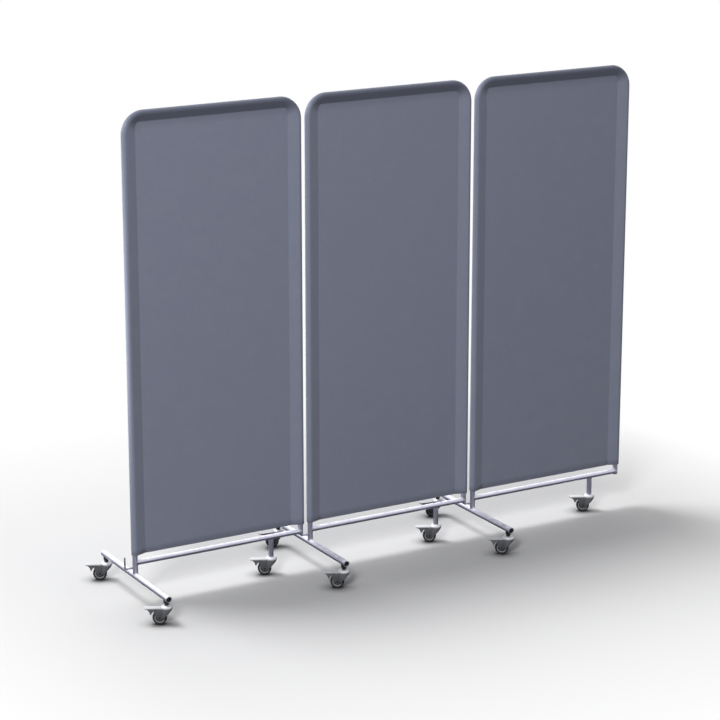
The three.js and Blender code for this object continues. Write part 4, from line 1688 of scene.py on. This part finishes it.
    def fork(self) -> Mesh:
        """Press the fork under the hood: two plates, deck, nose and housing.

        Returns:
            The fork's mesh.
        """
        start = self.head_radius + 0.5 * MM
        end = self.pin.x - self.pedal_boss - 0.5 * MM
        low, high = self.deck_top - self.deck_thickness, self.deck_top - 0.1 * MM
        deck = Outline(steps=4)
        deck.to(start, low).to(end, low, 0.6 * MM).to(end, high, 0.6 * MM).to(start, high)
        inset = 0.2 * MM
        return joined(
            *(
                plate(self.fork_side(), self.fork_plate, self.plate_rim, self.across(y=y))
                for y in (self.half, self.fork_plate - self.half)
            ),
            plate(deck, self.fork_width - 2 * inset, 0.3 * MM, self.across(y=self.half - inset)),
            self.nose(),
            self.housing(),
        )

    def housing(self) -> Mesh:
        """Press the round housing under the hood, cut off along the fork's front slope.

        Returns:
            The housing's mesh.
        """
        mouth = math.degrees(math.asin(self.half / self.housing_radius))
        low = self.axle.y - self.eye_radius
        wall = Outline(steps=18)
        wall.arc(0, 0, self.housing_radius, mouth, 360 - mouth)
        wall.arc(0, 0, self.housing_radius - self.fork_plate, 360 - mouth, mouth)
        bm = plate(wall, self.hood_base - low, 0.3 * MM, Matrix.Translation((0, 0, low)))
        cut = bmesh.ops.bisect_plane(
            bm, geom=bm.verts[:] + bm.edges[:] + bm.faces[:], plane_co=(self.front.x, 0, self.front.y),
            plane_no=(-self.slope.y, 0, self.slope.x), clear_inner=True,
        )["geom_cut"]
        bmesh.ops.edgeloop_fill(bm, edges=[g for g in cut if isinstance(g, bmesh.types.BMEdge)])
        return facing_out(bm)

    def nose(self) -> Mesh:
        """Press the sloping wall that joins the plates in front of the wheel.

        Returns:
            The wall's mesh.
        """
        square = Vector((-self.slope.y, self.slope.x))
        to_axle = self.axle - self.front
        aside = to_axle.dot(square)
        clear = self.wheel_radius + self.wheel_gap
        reach = to_axle.dot(self.slope) - math.sqrt(clear * clear - aside * aside)
        low = self.front + self.slope * reach
        thick = square * self.nose_thickness
        back = self.start + thick
        wall = Outline(steps=4)
        wall.to(self.start.x, self.deck_top - MM).to(self.start.x, self.start.y, self.press_radius)
        wall.to(low.x, low.y, self.press_radius)
        wall.to(low.x + thick.x, low.y + thick.y, self.press_radius)
        wall.to(back.x, back.y).to(back.x, self.deck_top - MM)
        inset = 0.3 * MM
        return plate(wall, self.fork_width - 2 * inset, 0.2 * MM, self.across(y=self.half - inset))

    def rivet(self, at: Vector, radius: float, head: float) -> Mesh:
        """Set a riveted pin through both plates.

        Args:
            at: Place of the pin along the trail and up.
            radius: Radius of the pin.
            head: How far its heads stand out of the plates.

        Returns:
            The pin's mesh.
        """
        half = self.half + head
        pin = Outline(closed=False, steps=4)
        for side in (-1, 1):
            end = side * half
            corners = [(0, end, 0), (radius * 0.35, end, 0), (radius * 0.5, end, 0)]
            corners.append((radius, end - side * head * 0.5, head * 0.4))
            for x, y, rounding in corners[::-side]:
                pin.to(x, y, rounding)
        return spun(pin, 28, self.across(at.x, 0, at.y))

    def wheel_ring(self, half: tuple, steps: int = 3, segments: int = 64) -> Mesh:
        """Turn a ring of the wheel, alike on both sides.

        Args:
            half: Radius, height and rounding of each corner on one side, from the bore outwards.
            steps: Steps of each rounding.
            segments: Steps round the turn.

        Returns:
            The ring's mesh.
        """
        profile = Outline(steps=steps)
        for radius, side, rounding in half:
            profile.to(radius, side, rounding)
        for radius, side, rounding in reversed(half):
            profile.to(radius, -side, rounding)
        return spun(profile, segments, self.across(self.trail, 0, self.wheel_radius))

    def tyre(self) -> Mesh:
        """Turn the tyre with a rounded tread.

        Returns:
            The tyre's mesh.
        """
        side = self.tyre_half
        return self.wheel_ring((
            (self.wheel_radius - self.tyre_depth, side - 0.4 * MM, 0.5 * MM),
            (self.wheel_radius - 1.6 * MM, side, 2.2 * MM),
            (self.wheel_radius, side * 0.6, 3.0 * MM),
        ), steps=5, segments=72)

    def hub(self) -> Mesh:
        """Turn the wheel's centre, its dark colour partly painted shade in its recess: boss, cover and the
        groove's floor.

        Returns:
            The centre's mesh.
        """
        edge = self.wheel_radius - self.tyre_depth - self.ring_width
        groove = edge - self.groove_width
        return self.wheel_ring((
            (self.axle_radius + self.seat_gap, self.hub_end, 0.3 * MM),
            (self.hub_radius, self.hub_end, 0.6 * MM),
            (self.hub_radius + MM, self.cover_side + MM, 0.6 * MM),
            (groove - 0.4 * MM, self.cover_side, 0.8 * MM),
            (groove, self.web_side, 0.5 * MM),
            (edge + self.seat_gap, self.web_side, 0.0),
        ))

    def rim(self) -> Mesh:
        """Turn the pale ring that carries the tyre.

        Returns:
            The ring's mesh.
        """
        outer = self.wheel_radius - self.tyre_depth
        return self.wheel_ring((
            (outer - self.ring_width, self.ring_side, 0.7 * MM),
            (outer + self.seat_gap, self.ring_side, 0.6 * MM),
        ))

    def foot_plate(self) -> Mesh:
        """Mould the pedal's foot plate, hollowed round the hood.

        Returns:
            The foot plate's mesh.
        """
        half = self.pedal_width / 2
        root = self.hood_radius + self.pedal_gap
        root_angle = math.degrees(math.asin(half / root))
        foot = Outline(steps=6)
        foot.arc(0, 0, root, root_angle, -root_angle)
        foot.to(self.pedal_reach, -half, self.pedal_tip).to(self.pedal_reach, half, self.pedal_tip)
        return plate(foot, self.pedal_thickness, 0.9 * MM, Matrix.Translation((0, 0, self.pedal_low)))

    def pedal_web(self) -> Mesh:
        """Mould the web under the foot plate, with the boss and the hooked brake shoe.

        Returns:
            The web's mesh.
        """
        top = self.pedal_low + self.pedal_thickness / 2
        inner = self.wheel_radius + self.shoe_gap
        boss = self.pin.x - self.pedal_boss
        web = Outline(steps=7)
        web.to(boss, top).to(boss, self.pin.y)
        boss_end = 270 + self.pedal_pin_angle - self.boss_short
        web.arc(self.pin.x, self.pin.y, self.pedal_boss, self.boss_from, boss_end)
        web.arc(self.axle.x, self.axle.y, inner, self.shoe_root_angle, self.shoe_angle)
        shoe = self.from_axle(self.shoe_angle, inner + self.shoe_thickness)
        pull = Vector((shoe.x + self.shoe_pull, self.pedal_low - self.shoe_pull))
        tip = Vector((self.pedal_reach - self.web_inset, self.pedal_low))
        for step in range(self.shoe_steps + 1):
            share = step / self.shoe_steps
            place = shoe.lerp(pull, share).lerp(pull.lerp(tip, share), share)
            web.to(place.x, place.y)
        web.to(tip.x, top)
        width = self.fork_width - 2 * self.fork_plate - MM
        return plate(web, width, 0.6 * MM, self.across(y=width / 2))

    def stem(self) -> Mesh:
        """Turn the stem: riveted spindle below, and a flared boss or a plug above.

        Returns:
            The stem's mesh.
        """
        head = self.hood_base - self.seat_gap
        seat = self.hood_top + self.seat_gap
        spindle = Outline(closed=False, steps=4)
        spindle.to(0, head - self.head_height).to(self.head_radius, head - self.head_height, MM)
        spindle.to(self.head_radius, head, 0.5 * MM).to(self.stem_radius, head)
        if self.spot is Spot.LEG:
            plug, low = self.plug_radius, seat + self.seat_gap
            spindle.to(self.stem_radius, low).to(plug, low, 0.4 * MM)
            return spun(spindle.to(plug, self.stem_top, MM).to(0, self.stem_top), 40)
        spindle.to(self.stem_radius, self.stem_top, 0.6 * MM).to(0, self.stem_top)
        under = self.frame.foot - self.frame.foot_radius
        crown = under + 2 * MM
        boss = Outline(closed=False, steps=6)
        boss.to(0, seat).to(self.boss_foot, seat, 0.5 * MM)
        boss.to(self.boss_foot + 0.4 * MM, seat + self.boss_collar, 2 * MM)
        boss.to(self.boss_radius, under - self.boss_straight, 4 * MM)
        boss.to(self.boss_radius, crown).to(0, crown)
        rod = spun(boss, 48)
        for vert in rod.verts:
            if vert.co.z > under + MM:
                off = vert.co.x * math.cos(self.heading) - vert.co.y * math.sin(self.heading)
                vert.co.z = self.frame.foot - saddle(self.frame.foot_radius + self.seat_gap, off)
        return joined(spun(spindle, 32), rod)

    def build(self) -> None:
        """Build, place and dress the caster's pieces."""
        rivets = joined(
            self.rivet(self.axle, self.axle_radius, self.rivet_head),
            self.rivet(self.pin, self.pin_radius, self.pin_head),
        )
        swivel, wheel, pedal = (f"{self.name}_{part}" for part in ("swivel", "wheel", "pedal"))
        stem = (Paint.ZINC, Slot.ZINC_STEEL) if self.spot is Spot.LEG else (Paint.BLACK, Slot.BLACK_PLASTIC)
        for bm, title, body, node, paint, slot in (
            (self.hood(), "swivel_hood", swivel, "fork", Paint.ZINC, Slot.ZINC_STEEL),
            (self.fork(), "fork_plates", swivel, "fork", Paint.DARK_ZINC, Slot.ZINC_STEEL),
            (rivets, "axle_and_pin", swivel, "fork", Paint.BLACK, Slot.ZINC_STEEL),
            (self.tyre(), "tyre", wheel, "wheel", Paint.TYRE, Slot.TYRE),
            (self.hub(), "wheel_centre", wheel, "wheel", Paint.COVER, Slot.TYRE),
            (self.rim(), "wheel_ring", wheel, "wheel", Paint.HUB, Slot.TYRE),
            (self.foot_plate(), "foot_plate", pedal, "pedal", Paint.PALE, Slot.PALE_PLASTIC),
            (self.pedal_web(), "pedal_web", pedal, "pedal", Paint.WEB, Slot.PALE_PLASTIC),
            (self.stem(), "caster_boss", self.frame.body, "stem", *stem),
        ):
            bmesh.ops.transform(bm, matrix=self.place, verts=bm.verts)
            dress(bm, f"{self.name}_{title}", paint, body, f"{self.name}_caster_{node}")


@dataclass
class Studio:
    """Camera at the photograph's viewing angle, pale floor, soft lights and white surroundings."""

    picture_size: float = 720
    focal_pixels: float = 2467.9
    sensor: float = 36
    sight: float = 200
    yaw: float = 30.055
    pitch: float = 15.613
    eye: tuple = (-4.3932, -7.4462, 3.1532)
    floor_size: float = 60
    floor_near: float = 1.4
    floor_far: float = 2.7
    row_end: float = 1.07
    end_fade: float = 2.5
    shade_near: float = 0.3
    shade_far: float = 1.9
    floor_colour: tuple = linear(184, 184, 185)
    floor_bounce: tuple = linear(60, 60, 62)
    # Painted shadows on the floor: contact shadows under what stands on it, and the shade before the panels.
    contact_shadow_colour: tuple = linear(20, 20, 22)
    open_samples: int = 8
    closed_in: float = 0.5
    contact_reach: float = 0.06
    contact_end: float = 0.95
    panel_reach: float = 0.6
    panel_shade: float = 0.76
    panel_front: float = -0.08
    panel_back: float = 0.03
    low_ambient: float = 0.06
    high_ambient: float = 0.3
    back_ambient: float = 1.3
    key_power: float = 2150
    key_size: float = 5.5
    key_place: tuple = (-4.9, 5.5, 14.3)
    fill_power: float = 1220
    fill_size: float = 2.8
    fill_place: tuple = (-7.5, -7.5, 7.6)
    rim_power: float = 260
    rim_size: float = 0.3
    rim_cone: float = 28
    rim_blend: float = 0.8
    rim_place: tuple = (-3.4, 0.8, 0.5)
    rim_aim: tuple = (-1.0, 0.0, 1.05)
    aim: tuple = (0, 0, 0.5)

    @staticmethod
    def put(name: str, data: bpy.types.ID) -> bpy.types.Object:
        """Put an object that shows some data in the scene.

        Args:
            name: Name of the object.
            data: What it shows.

        Returns:
            The object.
        """
        placed = bpy.data.objects.new(name, data)
        bpy.context.scene.collection.objects.link(placed)
        return placed

    def camera(self) -> None:
        """Set the camera up."""
        data = bpy.data.cameras.new("photo_camera")
        data.sensor_width = self.sensor
        data.lens = self.focal_pixels / self.picture_size * self.sensor
        data.clip_end = self.sight
        camera = self.put("photo_camera", data)
        camera.location = self.eye
        camera.rotation_euler = (math.radians(90 - self.pitch), 0, math.radians(-self.yaw))
        bpy.context.scene.camera = camera

    def lamp(self, name: str, kind: str, place: tuple, aim: tuple, **settings: float) -> bpy.types.Object:
        """Hang a lamp.

        Args:
            name: Name of the lamp.
            kind: Type of the light.
            place: Where it hangs.
            aim: Where it points.
            settings: Properties of the light.

        Returns:
            The lamp.
        """
        data = bpy.data.lights.new(name, kind)
        for title, value in settings.items():
            setattr(data, title, value)
        lamp = self.put(name, data)
        lamp.location = place
        lamp.rotation_mode = "QUATERNION"
        lamp.rotation_quaternion = (Vector(aim) - Vector(place)).to_track_quat("-Z", "Y")
        return lamp

    def lamps(self) -> None:
        """Hang the large lamp behind, the fill in front and the low one that grazes the row's outer edge."""
        self.lamp("key_lamp", "AREA", self.key_place, self.aim, size=self.key_size, energy=self.key_power)
        fill = self.lamp(
            "fill_lamp", "AREA", self.fill_place, self.aim, size=self.fill_size, energy=self.fill_power
        )
        fill.visible_glossy = False
        self.lamp(
            "rim_lamp", "SPOT", self.rim_place, self.rim_aim, energy=self.rim_power,
            shadow_soft_size=self.rim_size, spot_size=math.radians(self.rim_cone), spot_blend=self.rim_blend,
        )

    def surroundings(self) -> None:
        """Light the scene softly from above, with a white background for the eye and for mirrored rays."""
        world = bpy.data.worlds.new("studio_world")
        world.use_nodes = True
        bpy.context.scene.world = world
        board = NodeBoard(world.node_tree)
        towards = board.parts(board.add("TexCoord").outputs["Generated"])
        above = board.fit(towards["Z"], 0.0, 0.9, self.low_ambient, self.high_ambient)
        behind = board.fit(towards["Y"], 0.0, 1.0, 0.0, self.back_ambient)
        dim = board.add("Background", Color=WHITE, Strength=board.math("ADD", above, behind))
        white = board.add("Background", Color=WHITE, Strength=1.0)
        board.mixed(board.seen_directly(), dim, white, "OutputWorld")

    def floor(self) -> None:
        """Lay a pale floor that keeps the shadow near the screen, deepened by painted shadows, and turns
        white far off.
        """
        bm = bmesh.new()
        bmesh.ops.create_grid(bm, x_segments=1, y_segments=1, size=self.floor_size / 2)
        mesh = bpy.data.meshes.new("studio_floor")
        bm.to_mesh(mesh)
        bm.free()
        material = bpy.data.materials.new("pale_floor")
        material.use_nodes = True
        mesh.materials.append(material)
        self.put("studio_floor", mesh)
        board = NodeBoard(material.node_tree)
        rays = board.add("LightPath").outputs
        place = board.place()
        shader = board.add("BsdfPrincipled", Base_Color=self.floor_paint(board, rays, place), Roughness=0.9)
        white = board.add("Emission", Color=WHITE, Strength=1.0)
        distance = board.vector("LENGTH", place)["Value"]
        far = board.fit(distance, self.floor_near, self.floor_far)
        beyond = board.math("MULTIPLY", far, board.seen_directly())
        nearby = board.math("MULTIPLY", self.away_from_row(board, place), rays["Is Camera Ray"])
        board.mixed(board.math("MAXIMUM", beyond, nearby), shader, white, "OutputMaterial")

    def floor_paint(self, board: NodeBoard, rays: Sockets, place: Socket) -> Socket:
        """Paint shade into the floor's colour: contact shadows at what stands on it, a shadow before the
        panels, and a darker colour for bounced light.

        Args:
            board: Board of the floor's tree.
            rays: Kinds of ray.
            place: Place on the floor.

        Returns:
            The colour's socket.
        """
        # Painted shadow: the floor darkens where the panels and casters close it in.
        near, wide = (board.openness(self.open_samples, r) for r in (self.contact_reach, self.panel_reach))
        in_front = board.fit(board.parts(place)["Y"], self.panel_front, self.panel_back, 1.0, 0.0)
        painted_panel_shadow = board.math("MULTIPLY", in_front, board.fit(wide, self.closed_in, 1.0, 1.0, 0.0))
        panel_shadow_colour = [channel * self.panel_shade for channel in self.floor_colour[:3]] + [1]
        plain = board.blend(painted_panel_shadow, self.floor_colour, panel_shadow_colour)
        # Painted contact shadow under what stands on the floor.
        lit = board.blend(board.fit(near, self.closed_in, self.contact_end), self.contact_shadow_colour, plain)
        bounced = board.math("MAXIMUM", rays["Is Diffuse Ray"], rays["Is Glossy Ray"])
        return board.blend(bounced, lit, self.floor_bounce)

    def away_from_row(self, board: NodeBoard, place: Socket) -> Socket:
        """Mask that grows with the distance from the row of panels, faster past its ends.

        Args:
            board: Board of the floor's tree.
            place: Place on the floor.

        Returns:
            The mask's socket.
        """
        parts = board.parts(place)
        past = board.math("SUBTRACT", board.math("ABSOLUTE", parts["X"]), self.row_end)
        past = board.math("MULTIPLY", board.math("MAXIMUM", past, 0.0), self.end_fade)
        across = board.vector("LENGTH", board.add("CombineXYZ", past, parts["Y"]).outputs[0])
        return board.fit(across["Value"], self.shade_near, self.shade_far)

    def build(self) -> None:
        """Set up the whole studio."""
        self.camera()
        self.floor()
        self.surroundings()
        self.lamps()
        bpy.context.scene.view_settings.view_transform = "Standard"
        log.info("studio ready")


def main() -> None:
    """Build the studio and the screen in order."""
    logging.basicConfig(level=logging.INFO, format="%(name)s %(message)s")
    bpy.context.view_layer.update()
    Studio().build()
    for panel in PanelName:
        panel_frame = PanelFrame(panel)
        panel_frame.build()
        Curtain(panel_frame).build()
        for spot in Spot:
            Caster(panel_frame, spot).build()


if __name__ == "__main__":
    main()
